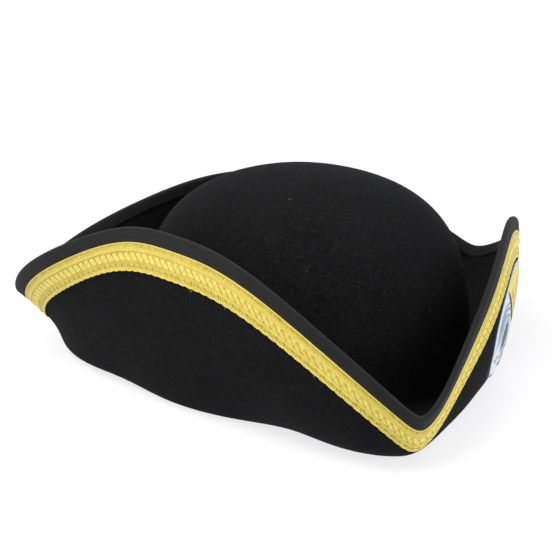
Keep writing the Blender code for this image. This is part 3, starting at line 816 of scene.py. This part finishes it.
# ---- Braid ----
ZIGZAG_PITCH = 5.6
BRAID_SAMPLES = 14
BRAID_ACROSS = 34
BRAID_FACE = 0.62                # height of the woven ground above the felt
BRAID_MARGIN = 0.25              # the ground starts this far below the braid's top
BRAID_NARROWED = 1.1             # and is this much narrower than the braid
BACK_GAP = 0.02
UPPER_BAND = 0.29                # shares of the width where the bands meet
LOWER_BAND = 0.66
CORD_STEP = 0.05                 # distance between the two cords of a pair, as a share of the width
CORD_SIDES = 8
CORD_PLY_PITCH = 2.3
UPPER_PLY_PITCH = 2.6
LOWER_PLY_PITCH = 1.9
HOLE_PITCH = 5.7
PIN_FROM_HOLE = 1.9
SCALLOP_PITCH = 6.0
SCALLOP_DEPTH = 0.62
BEAD_PITCH = 1.6
BEAD_STEPS = 6
FAN = (                          # creases from each node: lean over the band, half width, depth
    (0.64, 0.46, 1.0),
    (0.28, 0.26, 0.30),
    (-0.06, 0.26, 0.26),
    (-0.36, 0.32, 0.45),
)
CORDS = (                        # name, share of the width, radius, height above the felt
    ("top_edge", 0.018, 0.42, 0.55),
    ("upper_outer", UPPER_BAND, 0.30, 0.86),
    ("upper_inner", UPPER_BAND + CORD_STEP, 0.30, 0.86),
    ("lower_inner", LOWER_BAND, 0.30, 0.86),
    ("lower_outer", LOWER_BAND + CORD_STEP, 0.30, 0.86),
)
FRAYS = ((161.5, 7), (174.0, 2), (196.0, 2), (262.0, 3), (20.0, 2), (48.0, 3))     # angle, threads
FRAY_POINTS = 9


def bell(distance):
    return np.exp(-distance ** 2)


def braid_relief(along, share):
    """Height and tone of the woven ground, at distances along and shares across."""
    low, high = UPPER_BAND + CORD_STEP, LOWER_BAND
    middle = (share - low) / (high - low)
    in_middle = np.clip(np.minimum(middle, 1 - middle) * 12 + 0.6, 0, 1)
    height = in_middle * 0.20
    tone = in_middle * 0.72
    for lean, half_width, depth in FAN:
        from_crease = ((along / ZIGZAG_PITCH - lean * middle + 0.5) % 1 - 0.5) * ZIGZAG_PITCH
        crease = bell(from_crease / half_width) * np.clip(1.15 - 0.3 * middle, 0, 1)
        height = height - in_middle * 0.24 * depth * crease
        # painted shade: the tone darkens along each crease, where the ground dips
        tone = tone - in_middle * 0.78 * depth * crease
    is_upper = share < UPPER_BAND
    upper = np.clip(share / UPPER_BAND, 0, 1)
    slant = np.abs(np.sin(np.pi * (along / UPPER_PLY_PITCH - upper * 0.8)))
    height = height + is_upper * np.sin(np.pi * upper) ** 0.6 * (0.14 + 0.08 * slant)
    # painted highlight: the upper band's tone lightens on its ply ridges
    tone = tone + is_upper * (0.34 + 0.18 * slant * upper + 0.16 * upper)
    is_lower = share > LOWER_BAND + CORD_STEP
    lower = np.clip((share - LOWER_BAND - CORD_STEP) / (1 - LOWER_BAND - CORD_STEP), 0, 1)
    ply = np.abs(np.sin(np.pi * (along / LOWER_PLY_PITCH - lower * 0.9)))
    spot = ((along / HOLE_PITCH) % 1 - 0.5) * HOLE_PITCH
    hole = bell(spot / 0.62) * bell((lower - 0.42) / 0.20)
    pin = bell((np.abs(spot) - PIN_FROM_HOLE) / 0.42) * bell((lower - 0.50) / 0.15) * 0.6
    height = height + is_lower * np.sin(np.pi * lower) ** 0.5 * (0.10 + 0.08 * ply)
    height = height - is_lower * 0.34 * (hole + pin)
    # painted highlight on the lower band's ply ridges and painted shade in the pin dents; the tone is also
    # darker in the holes
    tone = tone + is_lower * (0.36 + 0.26 * ply - 0.95 * hole - 0.7 * pin)
    return height, tone


def make_braid_ground(material):
    """The braid's woven strip: a zigzag band between an edge band and a pierced band."""
    walk = EdgeWalk(BRAID_TOP + BRAID_WIDTH / 2, -0.6)
    count = round(walk.total / ZIGZAG_PITCH) * BRAID_SAMPLES
    along, angle = walk.even(count)
    pattern = np.arange(count) * ZIGZAG_PITCH / BRAID_SAMPLES
    share = np.linspace(0, 1, BRAID_ACROSS)
    height, tone = braid_relief(pattern[:, None], share)
    mottle = RANDOM.uniform(0, 1, (count, BRAID_ACROSS))
    near_rim = bell((share - 0.09) / 0.07)
    tone = tone + 0.22 * (mottle - 0.5) - 0.60 * near_rim * (mottle > 0.66)
    depth = BRAID_TOP + BRAID_MARGIN + (BRAID_WIDTH - BRAID_NARROWED) * share
    edges = depth[[-1, 0]]
    face = BRIM.place(angle[:, None], depth, -(BRAID_FACE + height))
    back = BRIM.place(angle[:, None], edges, -BACK_GAP)
    tones = np.concatenate((np.clip(tone, 0, 1), np.zeros((count, 2))), axis=1)
    made = sweep("braid_ground", np.concatenate((face, back), axis=1), material,
                 stacked(along[:, None], np.append(depth, edges)), tones)
    return made, walk.total


def braid_cord(name, share, radius, height, material):
    """A cord laid along the braid, twisted from two plies."""
    middle = BRAID_TOP + BRAID_WIDTH * share
    walk = EdgeWalk(middle, -BRAID_FACE)
    count = round(walk.total / CORD_PLY_PITCH) * 4
    along, angle = walk.even(count)
    swing = full_turn(CORD_SIDES)
    twist = np.arange(count)[:, None] * np.pi / 4
    swell = np.abs(np.cos(swing + twist))
    reach = radius * (0.80 + 0.22 * swell)
    depth = middle + reach * np.cos(swing)
    sections = BRIM.place(angle[:, None], depth, -height + reach * np.sin(swing))
    # the tone is painted shade between the two plies and painted highlight where each ply swells out
    return sweep(name, sections, material, stacked(along[:, None], depth), swell * 0.35 + 0.45)


def make_picots(material):
    """A beaded cord along the braid's lower edge, laid in shallow scallops."""
    walk = EdgeWalk(BRAID_BOTTOM - 0.8, -0.5)
    count = round(walk.total / BEAD_PITCH) * BEAD_STEPS
    along, angle = walk.even(count)
    scallops = round(walk.total / SCALLOP_PITCH)
    scallop = np.abs(np.sin(np.pi * scallops * along / walk.total)) ** 0.7
    bead = np.abs(np.sin(np.pi * np.arange(count) / BEAD_STEPS))[:, None]
    depth = (BRAID_BOTTOM - 1.20 + SCALLOP_DEPTH * scallop + RANDOM.normal(0, 0.03, count))[:, None]
    swing = full_turn(CORD_SIDES)
    reach = 0.34 + 0.14 * bead
    sections = BRIM.place(angle[:, None], depth + reach * np.cos(swing), -0.55 + reach * np.sin(swing))
    places = np.repeat(stacked(along[:, None], depth + reach), CORD_SIDES, axis=1)
    # the tone is painted shade in the waist between beads and painted highlight on each bead
    return sweep("braid_picots", sections, material, places, np.repeat(0.25 + 0.5 * bead, CORD_SIDES))


def make_frayed_threads(material):
    """A few foil threads that have worked loose from the braid's lower edge."""
    walk = EdgeWalk(BRAID_BOTTOM, 0.0)
    along = np.linspace(0, 1, FRAY_POINTS)
    paths = []
    for angle in np.repeat([angle for angle, _ in FRAYS], [threads for _, threads in FRAYS]):
        start = angle + RANDOM.normal(0, 0.5)
        reach, drift = RANDOM.uniform(1.2, 2.8), RANDOM.normal(0, 0.8)
        curl = 0.5 * np.sin(along * RANDOM.uniform(4, 9) + RANDOM.uniform(0, 6))
        degrees = start + (drift * along + curl * along) * 360 / walk.total
        depth = BRAID_BOTTOM - 0.7 + reach * along
        lift = -0.5 - 0.9 * np.sin(np.pi * along * RANDOM.uniform(0.5, 0.9)) * RANDOM.uniform(0.4, 1.0)
        paths.append(BRIM.place(degrees, depth, lift))
    made = tubes("braid_frayed_threads", np.array(paths), 0.07 * np.linspace(1.2, 0.6, FRAY_POINTS), material)
    made.data.uv_layers.new(name="cloth")
    return made


# ---- Emblem: places are across and up from its middle ----
KERCHIEF_TOP = BANDANA_UP + BANDANA_TOP
KERCHIEF_TIP = KERCHIEF_TOP - BANDANA_DROP
RIM_WIDTH = 0.7                  # a patch rounds down to its rim over this distance
LINE_SECTION = 9
FACING_AWAY = 1e-3


def on_emblem(across, up, offset):
    depth = EMBLEM_DEPTH - up
    middle = BRIM.place(EMBLEM_ANGLE, depth, 0.0)
    radius = np.hypot(middle[..., 0], middle[..., 1])
    return BRIM.place(EMBLEM_ANGLE + np.degrees(across / radius), depth, offset)


def oval(across, up, power):
    """The distance from the middle of a squared oval to its edge, as a function of the direction."""
    def reach(swing):
        wide, tall = np.abs(np.cos(swing)) / across, np.abs(np.sin(swing)) / up
        return (wide ** power + tall ** power) ** (-1 / power)
    return reach


def skull_reach(swing):
    cheeks = oval(SKULL_HALF_WIDTH, SKULL_DROP, 1.7)(swing)
    jaw = oval(JAW_HALF_WIDTH, SKULL_DROP, 6.0)(swing)
    top = oval(SKULL_HALF_WIDTH, SKULL_TOP, 4.0)(swing)
    return np.where(np.sin(swing) >= 0, top, np.maximum(cheeks, jaw))


def bandana_reach(swing):
    length = math.hypot(BANDANA_HALF_WIDTH, BANDANA_DROP)
    lean = math.atan2(BANDANA_HALF_WIDTH, BANDANA_DROP)
    side = BANDANA_HALF_WIDTH * (BANDANA_DROP - BANDANA_TOP) / length
    reach = np.full(swing.shape, SKULL_HALF_WIDTH)
    for facing, distance in ((math.pi / 2, BANDANA_TOP), (-lean, side), (math.pi + lean, side)):
        toward = np.cos(swing - facing)
        limit = distance / np.maximum(toward, FACING_AWAY)
        reach = np.where(toward > FACING_AWAY, np.minimum(reach, limit), reach)
    return reach


def kerchief_folds(across, up):
    """Soft folds that run from the kerchief's point to its top edge."""
    return 0.10 * np.cos(across / np.maximum(up - KERCHIEF_TIP, 1.0) * 22)


def patch(name, reach, centre, low, high, puff, material, size=1.0, spokes=180, rings=34, tilt=0.0,
          relief=None):
    """Stitched area with a rounded rim. low and high are heights above the felt; puff swells its middle."""
    swing = full_turn(spokes)
    edge = reach(swing) * size

    def inside(shares):
        return [middle + edge[:, None] * shares * turned[:, None]
                for middle, turned in zip(centre, (np.cos(swing + tilt), np.sin(swing + tilt)))]

    share = np.linspace(1, 0, rings + 1)[:-1]
    across, up = inside(share)
    inward = np.minimum((1 - share) * edge.mean() / RIM_WIDTH, 1)
    height = low + (high - low) * np.sqrt(1 - (1 - inward) ** 2) + puff * (1 - share ** 2)
    if relief is not None:
        height = height + relief(across, up) * inward
    height = np.broadcast_to(height, across.shape)
    behind = low - BACK_GAP
    back_across, back_up = inside(np.linspace(0, 1, rings // 2 + 1)[1:])
    back, front = on_emblem(back_across, back_up, -behind), on_emblem(across, up, -height)
    sections = np.concatenate((back, front), axis=1)
    places = np.concatenate((stacked(back_across, back_up), stacked(across, up)), axis=1)
    uv = np.concatenate((places.reshape(-1, 2), [centre, centre]))
    return domed(name, sections, on_emblem(*centre, -behind), on_emblem(*centre, -height[:, -1].mean()),
                 material, uv, backward=True)


def band(name, paths, width, height, rise, material, steps=48):
    """Raised satin-stitched lines. Each path is a few points across and up, drawn through smoothly."""
    swing = np.linspace(0, np.pi, LINE_SECTION)
    share = np.clip(np.linspace(0, 1, steps), 0.004, 0.996)
    half = (width / 2 * np.clip(np.sqrt(np.sin(np.pi * share)) * 1.25, 0.08, 1))[:, None]
    lift = height + rise * np.sin(swing) * (half / half.max())
    skins, faces, uv = [], [], []
    for path in paths:
        path = np.asarray(path, float)
        knots = walked_along(np.linalg.norm(np.diff(path, axis=0), axis=1))
        walk = np.linspace(0, knots[-1], steps)
        line = np.stack([smooth_through(knots, path[:, axis], walk) for axis in (0, 1)], axis=-1)
        ahead = unit(np.gradient(line, axis=0))
        side = np.stack((-ahead[:, 1], ahead[:, 0]), axis=-1)
        across = line[:, None] + side[:, None] * (half * np.cos(swing))[..., None]
        base = len(skins) * steps * LINE_SECTION
        skins.append(on_emblem(across[..., 0], across[..., 1], -lift))
        uv.append(stacked(walk[:, None], half * np.cos(swing)))
        faces.append(grid_faces(steps, LINE_SECTION, closed_path=False) + base)
        faces.append(end_caps(steps, LINE_SECTION) + base)
    return make_mesh(name, np.array(skins), faces, material, np.array(uv).reshape(-1, 2))


def smooth_through(knots, values, places):
    """A cubic through values at knots."""
    slopes = np.gradient(values, knots)
    index = np.clip(np.searchsorted(knots, places, side="right") - 1, 0, len(knots) - 2)
    gap = knots[index + 1] - knots[index]
    t = (places - knots[index]) / gap
    return (values[index] * (1 + 2 * t) * (1 - t) ** 2 + values[index + 1] * t * t * (3 - 2 * t)
            + gap * (slopes[index] * t * (1 - t) ** 2 - slopes[index + 1] * t * t * (1 - t)))


def mirrored(*paths):
    return [path for line in paths for path in (line, [(-x, y) for x, y in line])]


def skull_line(size, swing):
    reach = skull_reach(swing) * size
    return np.stack((reach * np.cos(swing), reach * np.sin(swing)), axis=-1)


def make_emblem(twill, pale, blue, dark, gold, amber):
    """Generic skull and folded kerchief, in layers of satin stitch on a twill patch."""
    made = [
        patch("emblem_patch", skull_reach, (0, 0), 0.0, 0.7, 0.0, twill, size=1.05, rings=26),
        patch("emblem_face", skull_reach, (0, 0), 0.6, 1.35, 0.15, pale, spokes=260, rings=60),
    ]
    rim = [skull_line(1.015, np.linspace(-0.02, np.pi + 0.02, 60)),
           skull_line(1.015, np.linspace(np.pi - 0.02, 2 * np.pi + 0.02, 90))]
    made.append(band("emblem_rim", rim, 1.3, 0.95, 0.45, blue, steps=90))
    for side, word in ((-1, "right"), (1, "left")):
        made.append(patch(f"emblem_socket_{word}", oval(12.5, 8.8, 2.4), (side * 27.0, -2.4), 1.2, 1.55, 0.0,
                          blue, spokes=72, rings=14, tilt=side * 0.20))
        made.append(patch(f"emblem_eye_{word}", oval(9.2, 6.0, 2.2), (side * 26.6, -2.8), 1.5, 1.75, 0.1,
                          dark, spokes=60, rings=12, tilt=side * 0.20))
    made.append(patch("emblem_nose", oval(4.6, 5.6, 1.5), (0, -16.5), 1.2, 1.6, 0.05,
                      dark, spokes=48, rings=10))
    brows = mirrored([(7, 1.5), (14, 6.5), (24, 12.0), (35, 16.0), (44, 12.5), (48.5, 3.0)],
                     [(9, -1.5), (15.5, 3.0), (24.5, 8.0), (34.5, 11.5), (41, 8.2), (44, 0.5)])
    made.append(band("emblem_brows", brows, 1.9, 1.25, 0.65, blue))
    lines = mirrored([(5.5, 4.0), (13, 9.5), (24, 15.2), (36.5, 19.5), (46.5, 15.5), (51.0, 4.5)],
                     [(40, -8.5), (33, -12.5), (25, -14.5), (17, -14.0)],
                     [(38, -14.5), (30, -18.5), (23.5, -24.5)],
                     [(43, -3.0), (47.5, -5.0), (50, -1.5)],
                     [(10, -9.0), (9.5, -15.0), (12.0, -21.0)])
    made.append(band("emblem_lines", lines, 0.95, 1.3, 0.55, blue))
    teeth = [[(x, -26.2), (x * 1.02, -28.6), (x * 1.04, -31.0)] for x in np.linspace(-14, 14, 8)]
    made.append(band("emblem_teeth", teeth, 0.7, 1.3, 0.5, dark, steps=20))
    jaw = [(-17.0, -25.4), (-8, -27.2), (0, -27.6), (8, -27.2), (17.0, -25.4)]
    made.append(band("emblem_jaw", [jaw], 0.9, 1.3, 0.55, dark))
    made.append(patch("emblem_kerchief", bandana_reach, (0, BANDANA_UP), 1.3, 2.05, 0.25, gold, size=0.97,
                      spokes=240, rings=40, relief=kerchief_folds))
    tip, top = KERCHIEF_TIP, KERCHIEF_TOP
    hems = mirrored([(x, tip + (top - tip) * x / BANDANA_HALF_WIDTH) for x in (0.4, 9.0, 18.0, 26.6)])
    made.append(band("emblem_kerchief_rim", hems, 1.5, 1.75, 0.5, dark, steps=70))
    folds = mirrored([(0.8, tip + 6), (2.6, tip + 16), (4.5, top - 4)],
                     [(4.5, tip + 12), (9.5, tip + 22), (13.5, top - 3)],
                     [(11.0, tip + 19), (16.0, tip + 26), (20.0, top - 3)])
    made.append(band("emblem_kerchief_folds", folds, 1.3, 2.0, 0.35, amber))
    return made


# ---- Inside ----
BAND_RIB_PITCH = 1.4
BAND_RIB_SAMPLES = 4
BAND_STITCHED_LENGTH = 580.0
BAND_TOP = SWEATBAND_RISE + SWEATBAND_HEIGHT
LOOP_STEPS = 26
LOOP_AROUND = 22
LOOP_START = 0.6
LOOP_PINCH = 1.9
KNOT_AROUND = 40
LABEL_ACROSS = 60
LABEL_DOWN = 44
LABEL_LOW, LABEL_HIGH = cad_corners("size_label")
LABEL_MIDDLE = (LABEL_LOW[0] + LABEL_HIGH[0]) / 2
LABEL_STITCHES = 9
LABEL_STITCH = 1.6


def make_sweatband(material):
    """Ribbed cotton ribbon round the opening, its lower edge turned and a little loose."""
    perimeter = 2 * math.pi * math.sqrt((CROWN_HALF_WIDTH ** 2 + CROWN_HALF_DEPTH ** 2) / 2)
    count = round(perimeter / BAND_RIB_PITCH) * BAND_RIB_SAMPLES
    angle = 90 + np.arange(count) * 360 / count
    rib = 0.05 * np.cos(2 * np.pi * np.arange(count) / BAND_RIB_SAMPLES)
    slack = 0.10 * np.sin(np.radians(angle) * 9) + 0.08 * np.sin(np.radians(angle) * 17 + 1)
    thick = SWEATBAND_THICKNESS
    # Each row of the outline: height, distance in from the felt, looseness.
    outline = [(z, 0.06, 0.0) for z in (SWEATBAND_RISE + 0.4, 8.0, 17.0, 25.0, BAND_TOP - 0.4)]
    outline += [(BAND_TOP - 0.1, 0.5, 0.3), (BAND_TOP - 0.5, thick, 0.6), (BAND_TOP - 2.2, thick, 1.0),
                (BAND_TOP - 2.6, thick - 0.3, 1.0), (24.0, thick - 0.3, 1.0), (16.0, thick - 0.2, 1.0),
                (8.0, thick - 0.1, 1.0), (4.4, thick, 1.0), (3.8, thick + 0.15, 1.0),
                (SWEATBAND_RISE + 0.5, thick + 0.1, 0.8), (SWEATBAND_RISE, 0.6, 0.2)]
    columns, places = [], []
    for z, inward, loose in outline:
        radius = crown_wall_radius(angle, z, FELT) - inward - loose * (rib + 0.4 * slack)
        columns.append(polar(angle, radius, z))
        places.append(stacked(angle / 360 * perimeter, z + inward))
    made = sweep("sweatband_ribbon", np.stack(columns, axis=1), material, np.stack(places, axis=1))
    return made, perimeter - 2 * math.pi * FELT


def make_sweatband_stitches(material):
    """Two rows of stitches: one holds the turned hem, one the band to the felt."""
    along = np.linspace(0, 1, STITCH_POINTS)
    dive = 0.32 * np.abs(2 * along - 1) ** 3
    paths = []
    for z, pitch, length in ((4.1, 3.4, 2.2), (BAND_TOP - 2.4, 4.2, 2.6)):
        many = round(BAND_STITCHED_LENGTH / pitch)
        angle = (np.arange(many) * 360 / many)[:, None] + along * length / BAND_STITCHED_LENGTH * 360
        paths.append(polar(angle, crown_wall_radius(angle, z, FELT) - SWEATBAND_THICKNESS - 0.22 + dive, z))
    return tubes("sweatband_stitches", np.concatenate(paths), 0.13, material)


def make_bow(material):
    """Flat bow: two folded loops and a band round the middle."""
    low, high = cad_corners("sweatband_bow")
    middle = (low + high) / 2
    half, deep, tall = (high - low) / 2
    share = np.linspace(0, 1, LOOP_STEPS)[:, None]
    swing = full_turn(LOOP_AROUND)
    flat = np.sign(np.cos(swing)) * np.abs(np.cos(swing)) ** 0.35
    spread = LOOP_PINCH + (tall - 0.35 - LOOP_PINCH) * np.sin(share * np.pi / 2) ** 0.9
    fat = 0.28 + 0.42 * np.sin(np.pi * np.clip(share * 1.02, 0, 1)) ** 0.7
    crease = 0.14 * np.cos(3 * np.pi * flat) * (1 - share)
    made = []
    for side, word in ((-1, "right"), (1, "left")):
        x = middle[0] + side * (LOOP_START + (half - LOOP_START) * share)
        z = middle[2] + spread * flat
        sections = stacked(x, middle[1] + 0.1 * deep + fat * np.sin(swing) + crease, z)
        places = stacked(x - middle[0], z - middle[2])
        made.append(sweep(f"bow_loop_{word}", sections, material, places, closed_path=False))
    turn = full_turn(KNOT_AROUND)
    across = np.linspace(-1, 1, 9)[:, None]
    knot = stacked(middle[0] + 1.9 * across,
                   middle[1] + (deep - 0.02) * np.sin(turn) * (1 - 0.16 * across * across),
                   middle[2] + 2.9 * np.sign(np.cos(turn)) * np.abs(np.cos(turn)) ** 0.6)
    made.append(sweep("bow_knot", knot, material, stacked(4 * turn, 2 * across), closed_path=False))
    return made


def make_label(material):
    """Blank satin label: top folded under its stitches, sides hemmed, lower edge a little curled."""
    thick, width, drop = LABEL_HIGH - LABEL_LOW
    across = np.linspace(-1, 1, LABEL_ACROSS)[:, None]
    down = np.linspace(0, 1, LABEL_DOWN)
    y = LABEL_LOW[1] + width * (across + 1) / 2
    z = LABEL_HIGH[2] - drop * down
    hem = 0.16 * bell((np.abs(across) - 0.93) / 0.035)
    fold = 0.18 * bell((down - 0.13) / 0.02) * 0.6
    bulge = 0.10 * np.sin(np.pi * (across + 1) / 2) * np.sin(down * np.pi)
    bulge = bulge + 0.06 * np.sin(5 * across + 2) * down ** 2
    front = LABEL_MIDDLE - (0.15 + hem * 0.4 + fold) * thick * 0.8 - bulge * 0.6
    back = LABEL_MIDDLE + 0.11 - bulge * 0.6
    places = stacked(y, z)
    sheet = np.concatenate((stacked(front, y, z), stacked(back, y, z)[:, ::-1]), axis=1)
    uv = np.concatenate((places, places[:, ::-1]), axis=1)
    return sweep("label_cloth", sheet, material, uv, closed_path=False), width, drop


def make_label_stitches(material):
    """The row of stitches that the label hangs from."""
    along = np.linspace(0, 1, STITCH_POINTS)
    room = LABEL_HIGH[1] - LABEL_LOW[1] - 2.4 - LABEL_STITCH
    start = LABEL_LOW[1] + 1.2 + np.arange(LABEL_STITCHES)[:, None] * room / (LABEL_STITCHES - 1)
    bow = LABEL_MIDDLE - 0.40 + 0.30 * np.abs(2 * along - 1) ** 3
    paths = stacked(bow, start + LABEL_STITCH * along, LABEL_HIGH[2] - 1.1)
    return tubes("label_stitches", paths, 0.12, material)


# ---- Everything on the hat ----
EMBLEM_SLOTS = {
    "patch_twill": "patch",
    "pale_satin_stitch": "pale_thread",
    "blue_satin_stitch": "pale_thread",
    "dark_satin_stitch": "patch",
    "gold_satin_stitch": "gold_thread",
    "amber_satin_stitch": "gold_thread",
}
EMBLEM_STANDS_FOR = {
    "emblem_patch": "emblem_backing",
    "emblem_face": "emblem_skull",
    "emblem_kerchief": "emblem_bandana",
}


def dress(piece, slot, body="hat", *stands_for):
    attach(piece, body)
    if stands_for:
        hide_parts(*stands_for)
    return piece


def add_felt():
    felt = felt_material()
    fibre = fibre_material("wool_fibre", {"Roughness": 0.8, "Specular IOR Level": 0.05}, 700.0,
                           (0.35, (0.004, 0.004, 0.0045)), (0.65, (0.016, 0.016, 0.018)))
    lint = fibre_material("lint", {"Roughness": 0.7}, 60.0,
                          (0.4, (0.08, 0.10, 0.14)), (0.6, (0.26, 0.26, 0.28)))
    dress(make_felt(felt), "felt", "hat", "felt_body")
    dress(nap("felt_nap_crown", *scatter_on_crown(NAP_FIBRES), fibre), "felt")
    dress(nap("felt_nap_brim", *scatter_on_brim(NAP_FIBRES, BRAID_BOTTOM + 1), fibre), "felt")
    dress(make_lint(lint), "felt")


def add_binding(black):
    grosgrain = ribbon_material("grosgrain", (0.003, 0.003, 0.0034), (0.0135, 0.0135, 0.0142), RIB_PITCH)
    binding, edge_length = make_binding(grosgrain)
    dress(binding, "ribbon", "hat", "edge_binding")
    for word, side in (("inside", 1), ("outside", -1)):
        dress(stitch_row(f"binding_stitches_{word}", BINDING_WIDTH - 1.3, side, STITCH_PITCH, STITCH_LENGTH,
                         black), "ribbon")


def add_braid():
    gold = metal_thread_material("gold_braid", 0.6, (0.36, 0.22, 0.012))
    cord = metal_thread_material("gold_cord", -0.9, (0.34, 0.24, 0.020))
    brown = thread_material("braid_sewing_thread", (0.05, 0.03, 0.006), (0.20, 0.13, 0.02))
    ground, braid_length = make_braid_ground(gold)
    dress(ground, "braid", "hat", "gold_braid")
    for word, share, radius, height in CORDS:
        dress(braid_cord(f"braid_cord_{word}", share, radius, height, cord), "braid")
    dress(make_picots(cord), "braid")
    dress(make_frayed_threads(cord), "braid")
    dress(stitch_row("braid_stitches", BRAID_TOP + BRAID_WIDTH * 0.84, -1, HOLE_PITCH, 1.1, brown,
                     rise=BRAID_FACE + 0.12), "braid")


def add_emblem():
    threads = [
        embroidery_material("pale_satin_stitch", (0.42, 0.50, 0.56), (0.66, 0.74, 0.80),
                            (0.86, 0.92, 0.96), 0.15),
        embroidery_material("blue_satin_stitch", (0.08, 0.14, 0.22), (0.19, 0.29, 0.41),
                            (0.36, 0.48, 0.60), 1.2),
        embroidery_material("dark_satin_stitch", (0.006, 0.010, 0.020), (0.020, 0.030, 0.050),
                            (0.07, 0.09, 0.13), 1.5),
        embroidery_material("gold_satin_stitch", (0.55, 0.38, 0.03), (0.92, 0.70, 0.09),
                            (1.0, 0.86, 0.22), 1.35, metallic=0.15, roughness=0.38),
        embroidery_material("amber_satin_stitch", (0.20, 0.07, 0.008), (0.45, 0.20, 0.02),
                            (0.70, 0.38, 0.05), 1.35),
    ]
    for piece in make_emblem(twill_material(), *threads):
        slot = EMBLEM_SLOTS[piece.data.materials[0].name]
        named = [EMBLEM_STANDS_FOR[piece.name]] if piece.name in EMBLEM_STANDS_FOR else []
        dress(piece, slot, "hat", *named)


def add_inside(black):
    cotton = ribbon_material("sweatband_cotton", (0.012, 0.012, 0.013), (0.036, 0.036, 0.038), BAND_RIB_PITCH)
    sweatband, band_length = make_sweatband(cotton)
    dress(sweatband, "band", "hat", "sweatband")
    dress(make_sweatband_stitches(black), "band")
    silk = ribbon_material("bow_grosgrain", (0.012, 0.012, 0.013), (0.045, 0.045, 0.048), 0.9, sheen=0.3)
    bow = make_bow(silk)
    for loop in bow:
        dress(loop, "band")
    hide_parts("sweatband_bow")

    satin = embroidery_material("label_satin", (0.50, 0.49, 0.45), (0.70, 0.69, 0.64),
                                (0.82, 0.81, 0.77), 1.57)
    label, width, drop = make_label(satin)
    dress(label, "label", "label", "size_label")
    stitches = make_label_stitches(black)
    dress(stitches, "label", "label")

    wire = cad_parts["brim_wire"]
    wire.data.materials.clear()
    wire.data.materials.append(thread_material("wire_wrapping", (0.012, 0.012, 0.012), (0.05, 0.05, 0.05)))


# ---- Studio ----
CAMERA_AZIMUTH = -75.72
CAMERA_ELEVATION = 18.15
CAMERA_DISTANCE = 1050.0
CAMERA_ROLL = 0.25
CAMERA_TARGET = np.array((7.0, 17.6, 55.0))
LENS = 106.8
SENSOR = 36.0
TABLE_HALF_SIZE = 6.0            # the rest of the studio is in metres
TABLE_HEIGHT = -0.0004
TABLE_GLOW = 0.80
LAMP_AIM = (0, 0, 0.06)


def direction(azimuth, elevation):
    """A unit vector away from the hat; azimuth 0 is in front of the emblem."""
    turn, rise = math.radians(azimuth), math.radians(elevation)
    return Vector((math.sin(turn) * math.cos(rise), -math.cos(turn) * math.cos(rise), math.sin(rise)))


def add_camera():
    back = direction(CAMERA_AZIMUTH, CAMERA_ELEVATION)
    camera = add_object("camera", bpy.data.cameras.new("camera"))
    camera.data.lens = LENS
    camera.data.sensor_width = SENSOR
    camera.data.clip_start = 0.05
    camera.location = Vector((CAMERA_TARGET + CROWN_AXIS) * MM) + back * CAMERA_DISTANCE * MM
    turn = (-back).to_track_quat("-Z", "Y").to_matrix() @ Matrix.Rotation(math.radians(CAMERA_ROLL), 3, "Z")
    camera.rotation_euler = turn.to_euler()
    bpy.context.scene.camera = camera


def add_floor():
    """A seamless white table that glows enough to leave only a faint shadow."""
    look = Look("white_table", {"Roughness": 0.9, "Specular IOR Level": 0.0,
                                "Emission Color": (0.96, 0.955, 0.97), "Emission Strength": TABLE_GLOW})
    grain = look.noise(look.space(), 3.0, 2.0)
    look.drive("Base Color", look.ramp(grain, (0.3, (0.22, 0.22, 0.225)), (0.7, 0.24)))
    mesh = bpy.data.meshes.new("table")
    corners = [(x * TABLE_HALF_SIZE, y * TABLE_HALF_SIZE, TABLE_HEIGHT)
               for x, y in ((-1, -1), (1, -1), (1, 1), (-1, 1))]
    mesh.from_pydata(corners, [], [(0, 1, 2, 3)])
    mesh.materials.append(look.material)
    add_object("table", mesh)


def add_light(name, azimuth, elevation, distance, size, power, colour):
    """A soft square lamp that looks at the hat."""
    back = direction(azimuth, elevation)
    light = bpy.data.lights.new(name, "AREA")
    light.size = size
    light.energy = power
    light.color = colour
    lamp = add_object(name, light)
    lamp.location = Vector(LAMP_AIM) + back * distance
    lamp.rotation_euler = back.to_track_quat("Z", "Y").to_euler()


def add_studio():
    world = bpy.data.worlds.new("studio")
    world.use_nodes = True
    background = world.node_tree.nodes["Background"]
    background.inputs["Color"].default_value = (0.985, 0.985, 1.0, 1.0)
    background.inputs["Strength"].default_value = 0.95
    bpy.context.scene.world = world
    bpy.context.scene.view_settings.view_transform = "Standard"
    add_floor()
    add_light("key", -125.0, 58.0, 1.6, 1.0, 21.0, (1.0, 0.98, 0.95))
    add_light("fill", -30.0, 14.0, 1.8, 1.2, 12.0, (0.97, 0.98, 1.0))


add_camera()
BLACK_THREAD = thread_material("black_thread", (0.006, 0.006, 0.007), (0.03, 0.03, 0.032))
add_felt()
add_binding(BLACK_THREAD)
add_braid()
add_emblem()
add_inside(BLACK_THREAD)
add_studio()
